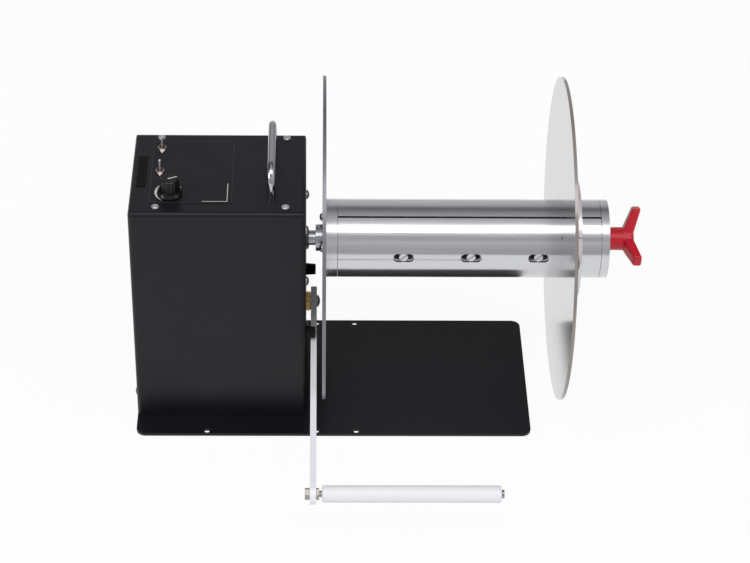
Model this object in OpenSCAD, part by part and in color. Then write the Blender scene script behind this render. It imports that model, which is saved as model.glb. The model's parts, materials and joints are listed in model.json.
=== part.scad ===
// Label rewinder: a motor box on a base plate drives an expanding mandrel between two flanges.
// The origin is on the bench under the middle of the whole machine, +X along the mandrel, +Z up.
// Lengths marked "from the left" start at the housing's left face.

/* [Base plate] */
// Width of the base plate
base_w = 386.4; // [340:0.2:440]
// Depth of the base plate
base_d = 182.2; // [178:0.2:220]
// Thickness of the base plate
base_t = 3; // [3:0.5:6]
// Corner radius of the base plate
base_corner_r = 9; // [4:0.5:14]
// How far the plate stands out past the housing's left face
base_left = 0; // [0:0.5:4]
// How far the plate stands out in front of the housing
base_front = 28.3; // [24:0.1:36]
// Diameter of the bench bolt holes
bench_hole_d = 6; // [3:0.1:7]
// From the plate's front and back edges to the bench bolt holes
bench_hole_inset = 4.6; // [4:0.1:9]
// From the plate's left edge to the first pair of bench bolt holes
bench_hole_x = 69; // [50:1:90]
// Distance along the plate between the pairs of bench bolt holes
bench_hole_pitch = 146; // [120:1:170]
// From the plate's left edge to the extra pair of holes beside the arm
arm_hole_x = 176; // [150:1:200]
// Diameter of a rubber foot
foot_d = 14; // [8:1:20]
// Height of a rubber foot
foot_h = 3; // [2:0.5:8]
// From the plate's edges to a foot's middle
foot_inset = 17; // [13:1:30]

/* [Housing] */
// Width of the housing
house_w = 165.3; // [161:0.1:185]
// Depth of the housing
house_d = 136.4; // [136:0.1:144]
// From the spindle back to the housing's mid-depth
house_back = 1.8; // [0:0.1:4]
// Height of the housing above the base plate
house_h = 241.8; // [238:0.1:280]
// Thickness of the housing sheet
house_wall = 2; // [1.5:0.1:3]
// Outer radius of the housing's folded edges
house_edge_r = 4; // [3.2:0.1:6]
// Height of the angle brackets inside the housing
bracket_h = 30; // [26:1:50]
// Width of the bracket leg that lies on the base plate
bracket_leg = 20; // [16:1:30]
// Length of an angle bracket
bracket_l = 118; // [110:1:122]
// Thickness of an angle bracket
bracket_t = 2; // [1.5:0.1:3]
// Height of the side screws above the base plate
side_screw_h = 18; // [12:1:22]
// From the housing's front and back faces to the side screws
side_screw_in = 16; // [14:1:30]

/* [Screws] */
// Thread diameter of the housing and drive screws
screw_d = 5; // [4:0.1:6]
// Head diameter of the domed screws
head_d = 9; // [7.5:0.1:11]
// Head height of the domed screws
head_h = 2.2; // [1.5:0.1:4]
// Width of the slots in screw heads
drive_slot = 1.2; // [0.8:0.1:1.6]
// Depth of the slots in screw heads
drive_depth = 1; // [0.5:0.1:1.4]

/* [Control panel] */
// From the left to the left pair of panel screws
panel_screw_left = 25.5; // [23:0.5:31]
// From the housing's right face to the right pair of panel screws
panel_screw_right = 18.6; // [16:0.1:26]
// From the overlay's middle to the panel screws
panel_screw_y = 58.6; // [57.6:0.1:59]
// Thread diameter of the panel screws
panel_screw_d = 4; // [3:0.1:5]
// Head diameter of the panel screws
panel_head_d = 7.4; // [6.5:0.1:9]
// From the left to the overlay's left edge
overlay_x = 18.3; // [17.5:0.1:20]
// Width of the overlay
overlay_w = 78.4; // [70:0.1:90]
// Depth of the overlay
overlay_d = 105; // [100:1:107]
// Thickness of the overlay and the name plate
overlay_t = 0.4; // [0.2:0.1:0.8]
// From the mid-depth to the overlay's middle
overlay_y = 1.6; // [0:0.1:1.8]
// From the left to the name plate's left edge
plate_x = 5.6; // [5:0.1:8]
// Width of the bare name plate
plate_w = 9; // [6:0.5:10]
// Depth of the bare name plate
plate_d = 51; // [40:1:60]
// From the left to the torque knob's axis
knob_x = 38; // [35:0.5:45]
// From the mid-depth to the torque knob's axis
knob_y = -36.3; // [-37:0.1:-28]
// Diameter of the torque knob's skirt
knob_d = 24; // [22:0.2:26]
// Diameter of the torque knob's grip
knob_grip_d = 20.2; // [16:0.2:20.8]
// Diameter of the torque knob's top
knob_top_d = 17; // [14:0.2:19]
// Height of the torque knob
knob_h = 17.4; // [14:0.2:22]
// Height of the torque knob's skirt
knob_skirt_h = 4.4; // [4:0.1:6]
// Number of flutes round the torque knob's grip
knob_flutes = 12; // [6:1:18]
// Diameter of the potentiometer's body
pot_d = 17; // [14:0.5:22]
// Depth of the potentiometer's body
pot_l = 10; // [7:0.5:14]
// Diameter of the potentiometer's threaded bushing
pot_bush_d = 7; // [6.4:0.1:9]
// Diameter of the potentiometer's shaft
pot_shaft_d = 6; // [4:0.1:6]
// From the left to the toggle switches
toggle_x = 26.7; // [23:0.1:30]
// From the mid-depth to the front toggle
toggle_y = 2.2; // [-4:0.1:8]
// Distance between the two toggles
toggle_pitch = 39.7; // [24:0.1:44]
// Diameter of a toggle's threaded bushing
toggle_bush_d = 6.35; // [5.6:0.05:7]
// Length of a toggle lever above its pivot
lever_l = 13.4; // [9:0.1:18]
// Thickness of a toggle lever's tip
lever_d = 2.4; // [2:0.1:3.2]
// Tip of a toggle lever from upright at rest
lever_tilt = 12; // [8:0.5:14]

/* [Carry handle] */
// From the left to the carry handle
handle_x = 133.3; // [111:0.2:137]
// Diameter of the handle rod
handle_rod = 7.5; // [6:0.5:11]
// Distance between the handle's legs
handle_span = 90.8; // [80:0.2:104]
// From the mid-depth to the handle's middle
handle_y = 0.5; // [-5:0.1:4]
// Height of the handle above the panel
handle_h = 35; // [30:1:60]
// Bend radius at the handle's corners, to the rod's middle
handle_bend = 13; // [9:0.5:18]

/* [Drive] */
// Height of the spindle above the base plate
axis_h = 168; // [164:1:180]
// Distance between the wall screws that hold the drive
drive_pitch = 60; // [58:1:64]
// Width of the gearbox case
case_w = 78; // [76:1:90]
// Depth of the gearbox's gear space
gear_room = 14; // [12:0.5:20]
// Thickness of the gearbox case behind the wall
case_front = 11; // [10.5:0.5:16]
// Thickness of the gearbox cover
cover_t = 11; // [10.5:0.5:16]
// Module of the gear teeth
tooth_m = 1; // [0.9:0.05:1.05]
// Teeth on the drive gear
gear_teeth = 56; // [48:4:56]
// Teeth on the motor pinion
pinion_teeth = 14; // [12:1:16]
// Face width of the drive gear
gear_w = 10; // [6:0.5:11]
// Play between the gear teeth at the pitch line
tooth_play = 0.3; // [0.2:0.05:0.5]
// Diameter of the motor can
motor_d = 48; // [40:1:50]
// Length of the motor can
motor_l = 72; // [50:1:100]
// Diameter of the motor's shaft
motor_shaft_d = 8; // [6:0.5:8]
// Outer diameter of the ball bearings
bearing_d = 28; // [26:0.5:32]
// Width of the ball bearings
bearing_w = 8; // [6:0.5:9]
// Diameter of the spindle in the bearings
spindle_d = 12; // [10:0.5:13]
// Diameter of the bearing nose outside the wall
nose_d = 17; // [16:0.5:24]
// Length of the bearing nose outside the wall
nose_l = 2.4; // [2:0.2:5]

/* [Mandrel] */
// From the housing's right wall to the hub collar
spindle_out = 9.4; // [8.5:0.1:30]
// Diameter of the spindle's shoulder
shoulder_d = 14.5; // [14.2:0.1:17]
// Diameter of the hub collar
collar_d = 26; // [24:0.5:30]
// Length of the hub collar
collar_l = 6.7; // [5:0.1:10]
// Diameter of the spindle inside the mandrel
tail_d = 14; // [10:0.5:14]
// Diameter of both flanges
flange_d = 312.6; // [200:0.2:330]
// Thickness of both flanges
flange_t = 3.1; // [2:0.1:5]
// Number of screws that hold the inner flange
flange_screws = 3; // [3:1:8]
// Radius of the inner flange's screw circle
flange_screw_r = 20; // [18:0.5:30]
// Thread diameter of the inner flange's screws
flange_screw_d = 4; // [3:0.1:5]
// Head diameter of the inner flange's screws
flange_head_d = 7.5; // [6:0.1:9]
// Diameter of the mandrel
mandrel_d = 76; // [74:0.5:84]
// Length of the mandrel's inner ring
ring_l = 11.1; // [8:0.1:16]
// Length between the inner ring and the end cap
jaw_room = 252.7; // [240:0.1:280]
// Length of the end cap
end_cap_l = 7.7; // [6:0.1:14]
// Thickness of a jaw
jaw_t = 8; // [7:0.1:9]
// Width of the slits between the jaws
slit_w = 2.2; // [2:0.1:5]
// Angle of the front jaw above level
jaw_angle = 7; // [0:0.5:30]
// Angle of the jaw screws above their jaws' middles
jaw_screw_turn = -2.3; // [-6:0.1:6]
// Distance between the jaw screws along the mandrel
jaw_screw_pitch = 64.65; // [58:0.05:68]
// Length of the oval slots round the jaw screws
oval_l = 20; // [17:0.5:26]
// Width of the oval slots round the jaw screws
oval_w = 9; // [8.8:0.1:9.6]
// Head diameter of the jaw screws
jaw_head_d = 8.4; // [7.8:0.1:8.6]
// Head height of the jaw screws
jaw_head_h = 2.1; // [2:0.1:2.8]
// Outer diameter of the core tube
core_d = 36; // [32:0.5:37]
// Bore of the core tube
core_bore = 24; // [22:0.5:25]
// Outer diameter of the expander sleeve
sleeve_d = 44; // [42:0.5:45]
// How far the jaws draw in when the knob is slackened
jaw_travel = 0.8; // [0.3:0.1:1]
// Slope of the expander's ramps
ramp_angle = 18; // [14:1:22]
// Length of a ramp
ramp_l = 15; // [10:1:15]
// Width of a ramp
ramp_w = 12; // [8:1:16]
// Diameter of the draw screw
draw_d = 10; // [8:0.5:12]
// Diameter of the cross pin through the draw nut
cross_pin_d = 6; // [4:0.5:8]

/* [Winged knob] */
// Diameter of the knob's neck
wing_hub_d = 22.5; // [20:0.5:26]
// From the end cap to where the wings leave the neck
wing_root = 19; // [14:0.1:24]
// Radius to the wings' tips
wing_r = 31.2; // [26:0.2:36]
// Thickness of a wing along the mandrel
wing_t = 8.5; // [6:0.1:12]
// Width of a wing
wing_w = 14; // [9:0.5:17]
// Lean of the wings away from the mandrel
wing_lean = 15; // [5:0.1:25]
// Extra thickness at the back of a wing's root
wing_gusset = 2.5; // [0:0.1:5]
// Angle of the first wing above level
wing_angle = -10; // [-60:1:60]

/* [Outer flange] */
// Clear width between the flanges at rest
roll_w = 225.5; // [120:0.1:232]
// Diameter of the split clamp hub
hub_d = 116; // [100:1:130]
// Length of the split clamp hub
hub_l = 14.3; // [12:0.1:20]
// Diameter of the hub's spigot in the flange
spigot_d = 92; // [86:0.5:96]
// Width of the hub's split
split_w = 2; // [1:0.1:3]
// Angle of the hub's split above level
split_angle = 36; // [0:1:60]
// Diameter of the hub's clamp screw
clamp_screw_d = 5; // [4:0.1:6]

/* [Tension arm] */
// Height of the arm's pivot above the base plate
pivot_h = 91.4; // [84:0.1:94]
// Length of the arm from its pivot to the roller
arm_l = 240.3; // [200:0.1:280]
// Width of the arm
arm_w = 20; // [16:0.5:24]
// Thickness of the arm
arm_t = 5.8; // [4:0.1:6.5]
// Slope of the arm below level at rest
arm_drop = 10.6; // [5:0.1:14]
// Width across the flats of the brass bush
bush_flats = 18; // [16:0.5:22]
// Height of the brass bush outside the wall
bush_l = 4; // [3:0.1:5]
// Diameter of the brass bush's barrel
bush_d = 14; // [12.5:0.5:15.5]
// Diameter of the arm's shaft
arm_shaft_d = 10; // [8:0.5:11]
// Thickness of the pivot washer
washer_t = 0.8; // [0.5:0.1:1.2]
// Head diameter of the pivot screw
pivot_head_d = 11.4; // [9:0.1:13]
// Head height of the pivot screw
pivot_head_h = 3.2; // [2:0.1:3.6]
// Diameter of the rubber stops at the wall
stop_d = 12; // [9:0.5:15]
// Length of the rubber stops
stop_l = 9.5; // [7:0.1:11]
// From the pivot along the arm to the front stop
stop_reach = 55.6; // [40:0.1:56]
// From the spindle back to the rear stop
rear_stop_y = 45; // [40:1:56]
// Diameter of the guide roller
roller_d = 16; // [12:0.5:22]
// Length of the guide roller
roller_l = 165.5; // [120:0.5:190]
// Diameter of the roller's bolt
axle_d = 6; // [5:0.5:8]
// Turns of the arm's spiral spring
spring_turns = 4; // [3:1:5]
// Outer radius of the arm's spiral spring
spring_r = 17; // [14:0.5:18]
// Thickness of the spring strip
spring_t = 0.8; // [0.5:0.1:1]
// Width of the spring strip
spring_w = 6; // [4:0.5:10]

/* [Clearances] */
// Radial clearance of a turning or sliding fit
run_fit = 0.06; // [0.03:0.01:0.09]
// Radial clearance of a fixed fit
seat_fit = 0.05; // [0.02:0.01:0.1]
// Gap between faces that pass each other
face_gap = 0.3; // [0.2:0.05:0.5]

/* [Hidden] */
$fn = 64;

// Stations along the mandrel, from the left
collar_x = house_w + spindle_out;
flange_x = collar_x + collar_l;
ring_x = flange_x + flange_t;
jaw_x0 = ring_x + ring_l;
jaw_x1 = jaw_x0 + jaw_room;
end_x = jaw_x1 + end_cap_l;
jaw_screw_shift = 1.5;
mid_jaw_x = (jaw_x0 + jaw_x1) / 2 + jaw_screw_shift;
outer_x = ring_x + roll_w;
hub_x = outer_x + flange_t;
wing_run = (wing_r - wing_hub_d / 2) * tan(wing_lean);
knob_end_x = end_x + wing_root + wing_run + wing_t;

// Stations in the drive, from the left
wall_x = house_w - house_wall;
case_x = wall_x - case_front - gear_room;
cover_x = case_x - cover_t;
gear_x = case_x + (gear_room - gear_w) / 2;
bearing_back = 2;
nose_taper = 2;
bearing_xs = [case_x - bearing_w, wall_x - case_front];
gear_drop = tooth_m * (gear_teeth + pinion_teeth) / 2;
tooth_angle = 20;
lobe_r = tooth_m * pinion_teeth / 2 + 9;

// Stations of the tension arm, from the left
washer_x = house_w + bush_l + face_gap / 3;
arm_x = washer_x + washer_t;
axle_nut_t = 2.8;
axle_neck = 2.4;
axle_head_t = 4.6;
axle_head_d = 11.4;
roller_x = arm_x + arm_t + axle_nut_t + axle_neck;
roller_cap_x = roller_x + roller_l + face_gap;
roller_cap_d = 8;
roller_cap_t = 2.2;
shaft_run = 39;
shaft_end_x = wall_x - shaft_run;

// Reach of the machine from the housing's left face and from the spindle
reach_left = max(base_left, head_h);
reach_front = arm_l * cos(arm_drop) + max(arm_w, roller_d) / 2;

// Places in the machine's own frame
house_x0 = (reach_left - knob_end_x) / 2;
axis_y = (reach_front - flange_d / 2) / 2;
mid_y = axis_y + house_back;
plate_z0 = foot_h;
plate_z1 = plate_z0 + base_t;
axis_z = plate_z1 + axis_h;
house_z1 = plate_z1 + house_h;
pivot_z = plate_z1 + pivot_h;
base_x0 = house_x0 - base_left;
base_y0 = mid_y - house_d / 2 - base_front;

// Expander and jaws
jaw_angles = [jaw_angle, jaw_angle + 120, jaw_angle + 240];
jaw_in_r = mandrel_d / 2 - jaw_t;
jaw_sweep = 120 - 2 * asin(slit_w / mandrel_d);
sleeve_travel = jaw_travel / tan(ramp_angle);
ramp_r = (jaw_in_r - jaw_travel + sleeve_d / 2 + jaw_travel) / 2;
ramp_xs = [jaw_x0 + 30, jaw_x1 - 30];
ramp_gap = 0.1;
sleeve_x0 = jaw_x0 + 12;
sleeve_x1 = jaw_x1 - 10;
jaw_floor_r = mandrel_d / 2 - jaw_t / 2;
jaw_screw_xs = [for (i = [-1:1]) mid_jaw_x + i * jaw_screw_pitch];
jaw_screw_d = 5;
head_ledge = 0.8;
nut_x = mid_jaw_x - jaw_screw_pitch / 2;
nut_l = 14;
stop_ring_d = 18;
spigot_l = 14;

// Panel and board
pot_nut_t = 2.4;
pot_nut_flats = pot_bush_d + 3.2;
pot_back = 3;
toggle_nut_t = 1.2;
toggle_nut_flats = toggle_bush_d + 1;
toggle_bore = toggle_bush_d - 1.6;
toggle_well = 2.2;
bush_rise = 0.5;
toggle_top = house_wall + overlay_t + toggle_nut_t + bush_rise;
toggle_body = [8, 13, 11];
lever_pivot = -1.2;
overlay_r = 3;
plate_r = 0.8;
board_t = 1.6;
board_drop = 24;
board_margin = 6.5;
board_edge = 4;
standoff_d = 8;
stud_d = panel_screw_d - 1;
panel_grip = 8;
panel_screw_points = [
    for (x = [panel_screw_left, house_w - panel_screw_right], sy = [-1, 1])
        [x, overlay_y + sy * panel_screw_y]
];
toggle_points = [[toggle_x, toggle_y], [toggle_x, toggle_y + toggle_pitch]];

// Small helpers

// A rectangle with round corners, centred
module rounded_rect(w, d, r) {
    square([w - 2 * r, d], center = true);
    square([w, d - 2 * r], center = true);
    for (sx = [-1, 1], sy = [-1, 1])
        translate([sx * (w / 2 - r), sy * (d / 2 - r)])
            circle(r);
}

// A rectangle whose two upper corners are round, standing on the axis
module arched_rect(w, h, r) {
    translate([-w / 2, 0])
        square([w, h - r]);
    translate([-w / 2 + r, 0])
        square([w - 2 * r, h]);
    for (sx = [-1, 1])
        translate([sx * (w / 2 - r), h - r])
            circle(r);
}

// A box with its upright and upper edges rounded, standing on its middle
module folded_box(w, d, h, r) {
    intersection() {
        linear_extrude(h)
            rounded_rect(w, d, r);
        rotate([90, 0, 0])
            linear_extrude(d, center = true)
                arched_rect(w, h, r);
        rotate([90, 0, 90])
            linear_extrude(w, center = true)
                arched_rect(d, h, r);
    }
}

// A round bar along X between two stations
module bar_x(x0, x1, d) {
    translate([x0, 0, 0])
        rotate([0, 90, 0])
            cylinder(h = x1 - x0, d = d);
}

// A six-sided bar along X, measured across its flats
module hex_x(x0, x1, flats) {
    translate([x0, 0, 0])
        rotate([0, 90, 0])
            cylinder(h = x1 - x0, d = flats / cos(30), $fn = 6);
}

// A pan head standing on the plane, with an upright rim, a domed top and a cross slot
pan_crown = 0.6;
module dome_head(d, h) {
    crown_h = pan_crown * h;
    ball_r = (d * d / 4 + crown_h * crown_h) / (2 * crown_h);
    difference() {
        rotate_extrude()
            intersection() {
                translate([0, h - ball_r])
                    circle(ball_r);
                square([d / 2, h]);
            }
        for (turn = [0, 90])
            rotate([0, 0, turn])
                translate([0, 0, h])
                    cube([d / 2, drive_slot, 2 * drive_depth], center = true);
    }
}

// A domed screw whose head stands on the plane and whose shank goes down
module domed_screw(d, l, hd = head_d, hh = head_h) {
    dome_head(hd, hh);
    translate([0, 0, -l])
        cylinder(h = l, d = d);
}

// Children measured from the spindle line, x from the left
module on_axis() {
    translate([house_x0, axis_y, axis_z])
        children();
}

// Children measured from the arm's pivot line, x from the left
module on_pivot() {
    translate([house_x0, axis_y, pivot_z])
        children();
}

// Children measured from the panel's surface, x from the left and y from mid-depth
module on_panel() {
    translate([house_x0, mid_y, house_z1])
        children();
}

// Children measured from the base plate's top, x from the left and y from mid-depth
module on_plate() {
    translate([house_x0, mid_y, plate_z1])
        children();
}

// Turns local +Z to a spoke of the mandrel at an angle above level, towards the front
module spoke(angle) {
    rotate([90 - angle, 0, 0])
        children();
}

// Turns local x to the arm's direction and local y to its upper side, with depth towards the left
module along_arm() {
    rotate([90, 0, -90])
        rotate([0, 0, -arm_drop])
            children();
}

// The four corners of a square of screws round the spindle
module drive_corners() {
    for (sy = [-1, 1], sz = [-1, 1])
        translate([0, sy * drive_pitch / 2, sz * drive_pitch / 2])
            children();
}

// Base and housing

module bench_holes() {
    for (x = [bench_hole_x, bench_hole_x + bench_hole_pitch, arm_hole_x],
         y = [bench_hole_inset, base_d - bench_hole_inset])
        translate([x, y])
            circle(d = bench_hole_d);
}

// Places of the screws that hold the brackets to the base plate
base_screw_in = house_wall + bracket_t + bracket_leg / 2;
base_screw_xs = [base_screw_in, house_w - base_screw_in];
base_screw_y = bracket_l / 2 - 14;
module at_base_screws() {
    for (x = base_screw_xs, sy = [-1, 1])
        translate([x, sy * base_screw_y, 0])
            children();
}

// A flat-headed screw pointing up from the plate's underside
flat_head_h = 2.4;
module flat_screw(grow) {
    translate([0, 0, -base_t])
        cylinder(h = flat_head_h, d1 = head_d + 2 * grow, d2 = screw_d + 2 * grow);
    translate([0, 0, -base_t])
        cylinder(h = base_t + bracket_t + 2, d = screw_d + 2 * grow);
}

module base_plate() {
    color("#1d1d20")
        difference() {
            translate([base_x0, base_y0, plate_z0])
                linear_extrude(base_t)
                    difference() {
                        translate([base_w / 2, base_d / 2])
                            rounded_rect(base_w, base_d, base_corner_r);
                        bench_holes();
                    }
            on_plate()
                at_base_screws()
                    flat_screw(seat_fit);
        }
}

module rubber_feet() {
    color("#18181a")
        for (x = [foot_inset, base_w - foot_inset], y = [foot_inset, base_d - foot_inset])
            translate([base_x0 + x, base_y0 + y, 0])
                cylinder(h = foot_h, d = foot_d);
}

module side_screw_places() {
    for (sy = [-1, 1])
        translate([0, sy * (house_d / 2 - side_screw_in), side_screw_h])
            children();
}

module bracket() {
    difference() {
        translate([house_wall, 0, 0])
            rotate([90, 0, 0])
                linear_extrude(bracket_l, center = true)
                    union() {
                        square([bracket_t, bracket_h]);
                        square([bracket_t + bracket_leg, bracket_t]);
                    }
        side_screw_places()
            bar_x(0, house_wall + bracket_t + 1, screw_d + 2 * seat_fit);
        for (sy = [-1, 1])
            translate([base_screw_xs[0], sy * base_screw_y, -1])
                cylinder(h = bracket_t + 2, d = screw_d + 2 * seat_fit);
    }
}

module base_brackets() {
    color("#8d9094")
        on_plate() {
            bracket();
            translate([house_w, 0, 0])
                mirror([1, 0, 0])
                    bracket();
        }
}

module base_screws() {
    color("#7d8084")
        on_plate()
            at_base_screws()
                flat_screw(0);
}

side_grip = 3;
module side_screw() {
    rotate([0, -90, 0])
        domed_screw(screw_d, house_wall + bracket_t + side_grip);
}

module side_screws() {
    color("#2a2a2d")
        on_plate() {
            side_screw_places()
                side_screw();
            translate([house_w, 0, 0])
                mirror([1, 0, 0])
                    side_screw_places()
                        side_screw();
        }
}

// Places of the two rubber stops on the right wall, from the pivot: y and z
stop_lift = arm_w / 2 + stop_d / 2 + face_gap;
front_stop_y = -stop_reach * cos(arm_drop) - stop_lift * sin(arm_drop);
stop_z = stop_lift * cos(arm_drop) - stop_reach * sin(arm_drop);
stop_stud_d = 5;
module stop_places() {
    for (y = [front_stop_y, rear_stop_y])
        translate([0, y, stop_z])
            children();
}

socket_x = 36;
socket_h = 34;
socket_d = 11;
module shell_holes() {
    on_panel()
        translate([0, 0, -2 * house_wall]) {
            for (p = panel_screw_points)
                translate([p[0], p[1], 0])
                    cylinder(h = 3 * house_wall, d = panel_screw_d + 2 * seat_fit);
            translate([knob_x, knob_y, 0])
                cylinder(h = 3 * house_wall, d = pot_bush_d + 2 * seat_fit);
            for (p = toggle_points)
                translate([p[0], p[1], 0])
                    cylinder(h = 3 * house_wall, d = toggle_bush_d + 2 * seat_fit);
            for (sy = [-1, 1])
                translate([handle_x, handle_y + sy * handle_span / 2, 0])
                    cylinder(h = 3 * house_wall, d = screw_d + 2 * seat_fit);
        }
    on_axis() {
        bar_x(wall_x - 1, house_w + 1, nose_d + 2 * seat_fit);
        drive_corners()
            bar_x(wall_x - 1, house_w + 1, screw_d + 2 * seat_fit);
    }
    on_pivot() {
        bar_x(wall_x - 1, house_w + 1, bush_d + 2 * seat_fit);
        stop_places()
            bar_x(wall_x - 1, house_w + 1, stop_stud_d + 2 * seat_fit);
    }
    on_plate() {
        side_screw_places() {
            bar_x(-1, house_wall + 1, screw_d + 2 * seat_fit);
            bar_x(wall_x - 1, house_w + 1, screw_d + 2 * seat_fit);
        }
        translate([socket_x, house_d / 2 + 1, socket_h])
            rotate([90, 0, 0])
                cylinder(h = house_wall + 2, d = socket_d + 2 * seat_fit);
    }
}

module housing_shell() {
    color("#202023")
        difference() {
            translate([house_x0 + house_w / 2, mid_y, plate_z1])
                difference() {
                    folded_box(house_w, house_d, house_h, house_edge_r);
                    translate([0, 0, -1])
                        folded_box(house_w - 2 * house_wall, house_d - 2 * house_wall,
                            house_h - house_wall + 1, house_edge_r - house_wall);
                }
            shell_holes();
        }
}

// Control panel

module panel_screws() {
    color("#c9cacc")
        on_panel()
            for (p = panel_screw_points)
                translate([p[0], p[1], 0])
                    domed_screw(panel_screw_d, house_wall + panel_grip, panel_head_d);
}

module board_standoffs() {
    color("#b9a15a")
        on_panel()
            for (p = panel_screw_points)
                translate([p[0], p[1], -house_wall - board_drop])
                    difference() {
                        union() {
                            cylinder(h = board_drop, d = standoff_d, $fn = 6);
                            translate([0, 0, -board_t - 2])
                                cylinder(h = board_t + 2, d = stud_d);
                        }
                        translate([0, 0, board_drop - panel_grip - 2])
                            cylinder(h = panel_grip + 3, d = panel_screw_d + 2 * seat_fit);
                    }
}

board_x0 = panel_screw_left - board_margin;
board_x1 = house_w - panel_screw_right + board_margin;
board_half = panel_screw_y + board_edge;
board_z = -house_wall - board_drop;
module control_board() {
    color("#1f5a35")
        on_panel()
            translate([0, 0, board_z - board_t])
                linear_extrude(board_t)
                    difference() {
                        translate([board_x0, overlay_y - board_half])
                            square([board_x1 - board_x0, 2 * board_half]);
                        for (p = panel_screw_points)
                            translate(p)
                                circle(d = stud_d + 2 * seat_fit);
                    }
}

// The larger parts on the board: terminal strip, heat sink, capacitors and a relay
module board_components() {
    strip = [44, 9, 12];
    strip_place = [34, 34, 0];
    fin = [2, 26, 15];
    fin_pitch = 6;
    fin_place = [60, -8, 0];
    can_d = 11;
    can_h = 16;
    can_x = 58;
    can_ys = [-44, -28];
    relay = [18, 14, 13];
    relay_place = [84, -50, 0];
    color("#3a3a40")
        on_panel()
            translate([board_x0, 0, board_z]) {
                translate(strip_place)
                    cube(strip);
                for (i = [0:4])
                    translate(fin_place + [i * fin_pitch, 0, 0])
                        cube(fin);
                for (y = can_ys)
                    translate([can_x, y, 0])
                        cylinder(h = can_h, d = can_d);
                translate(relay_place)
                    cube(relay);
            }
}

module control_overlay() {
    color("#242428")
        on_panel()
            linear_extrude(overlay_t)
                difference() {
                    translate([overlay_x + overlay_w / 2, overlay_y])
                        rounded_rect(overlay_w, overlay_d, overlay_r);
                    translate([knob_x, knob_y])
                        circle(d = pot_bush_d + 1);
                    for (p = toggle_points)
                        translate(p)
                            circle(d = toggle_bush_d + 0.6);
                }
}

module name_plate() {
    color("#0c0c0e")
        on_panel()
            translate([plate_x + plate_w / 2, overlay_y, 0])
                linear_extrude(overlay_t)
                    rounded_rect(plate_w, plate_d, plate_r);
}

module torque_pot() {
    color("#6e7176")
        on_panel()
            translate([knob_x, knob_y, 0])
                difference() {
                    union() {
                        translate([0, 0, -house_wall - pot_l])
                            cylinder(h = pot_l, d = pot_d);
                        translate([0, 0, -house_wall])
                            cylinder(h = house_wall + overlay_t + pot_nut_t + 1, d = pot_bush_d);
                        translate([-pot_d / 2, -pot_d / 2 - 3, -house_wall - pot_l])
                            cube([pot_d, pot_d / 2, 2]);
                    }
                    translate([0, 0, -house_wall - pot_l + pot_back])
                        cylinder(h = pot_l + house_wall + 10, d = pot_shaft_d + 2 * run_fit);
                }
}

module panel_nut(flats, t, hole) {
    difference() {
        cylinder(h = t, d = flats / cos(30), $fn = 6);
        translate([0, 0, -1])
            cylinder(h = t + 2, d = hole + 2 * seat_fit);
    }
}

module panel_nuts() {
    color("#b9bbbe")
        on_panel()
            translate([0, 0, overlay_t]) {
                translate([knob_x, knob_y, 0])
                    panel_nut(pot_nut_flats, pot_nut_t, pot_bush_d);
                for (p = toggle_points)
                    translate([p[0], p[1], 0])
                        panel_nut(toggle_nut_flats, toggle_nut_t, toggle_bush_d);
            }
}

module torque_knob() {
    hollow_d = pot_nut_flats / cos(30) + 1;
    hollow_h = pot_nut_t + 1.4;
    shaft_hole_r = pot_shaft_d / 2 + seat_fit;
    crown_t = 3;
    grip_draft = atan((knob_grip_d - knob_top_d) / 2 / (knob_h - knob_skirt_h));
    shaft_z0 = -house_wall - pot_l + pot_back + 0.5;
    lift = overlay_t + face_gap;
    color("#141416")
        on_panel()
            translate([knob_x, knob_y, lift]) {
                difference() {
                    rotate_extrude()
                        polygon([
                            [shaft_hole_r, hollow_h], [hollow_d / 2, hollow_h], [hollow_d / 2, 0],
                            [knob_d / 2, 0], [knob_d / 2, 1.5], [knob_grip_d / 2 + 0.6, knob_skirt_h],
                            [knob_grip_d / 2, knob_skirt_h], [knob_top_d / 2, knob_h - 0.8],
                            [knob_top_d / 2 - 0.8, knob_h], [0, knob_h], [0, knob_h - crown_t],
                            [shaft_hole_r, knob_h - crown_t]
                        ]);
                    for (i = [0:knob_flutes - 1])
                        rotate([0, 0, i * 360 / knob_flutes])
                            translate([knob_grip_d / 2 + 0.5, 0, knob_skirt_h + 0.5])
                                rotate([0, -grip_draft, 0])
                                    cylinder(h = knob_h, d = 2.4);
                }
                translate([0, 0, shaft_z0 - lift])
                    cylinder(h = knob_h - crown_t - 0.5 + lift - shaft_z0, d = pot_shaft_d);
            }
}

module toggle_bodies() {
    color("#5b3a2c")
        on_panel()
            for (p = toggle_points)
                translate([p[0], p[1], 0])
                    difference() {
                        union() {
                            translate([0, 0, -house_wall - toggle_body[2] / 2])
                                cube(toggle_body, center = true);
                            translate([0, 0, -house_wall])
                                cylinder(h = toggle_top, d = toggle_bush_d);
                        }
                        translate([0, 0, lever_pivot - toggle_well])
                            cylinder(h = 20, d = toggle_bore);
                    }
}

// A bat-shaped lever on a ball, tipped back at rest
module toggle_lever(p) {
    ball_d = toggle_bore - 2 * face_gap;
    color("#d2d3d6")
        on_panel()
            translate([p[0], p[1], lever_pivot])
                rotate([-lever_tilt, 0, 0]) {
                    sphere(d = ball_d);
                    cylinder(h = lever_l - lever_d / 2, d1 = lever_d * 0.55, d2 = lever_d);
                    translate([0, 0, lever_l - lever_d / 2])
                        sphere(d = lever_d);
                }
}

module front_toggle_lever() {
    toggle_lever(toggle_points[0]);
}

module rear_toggle_lever() {
    toggle_lever(toggle_points[1]);
}

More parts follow.
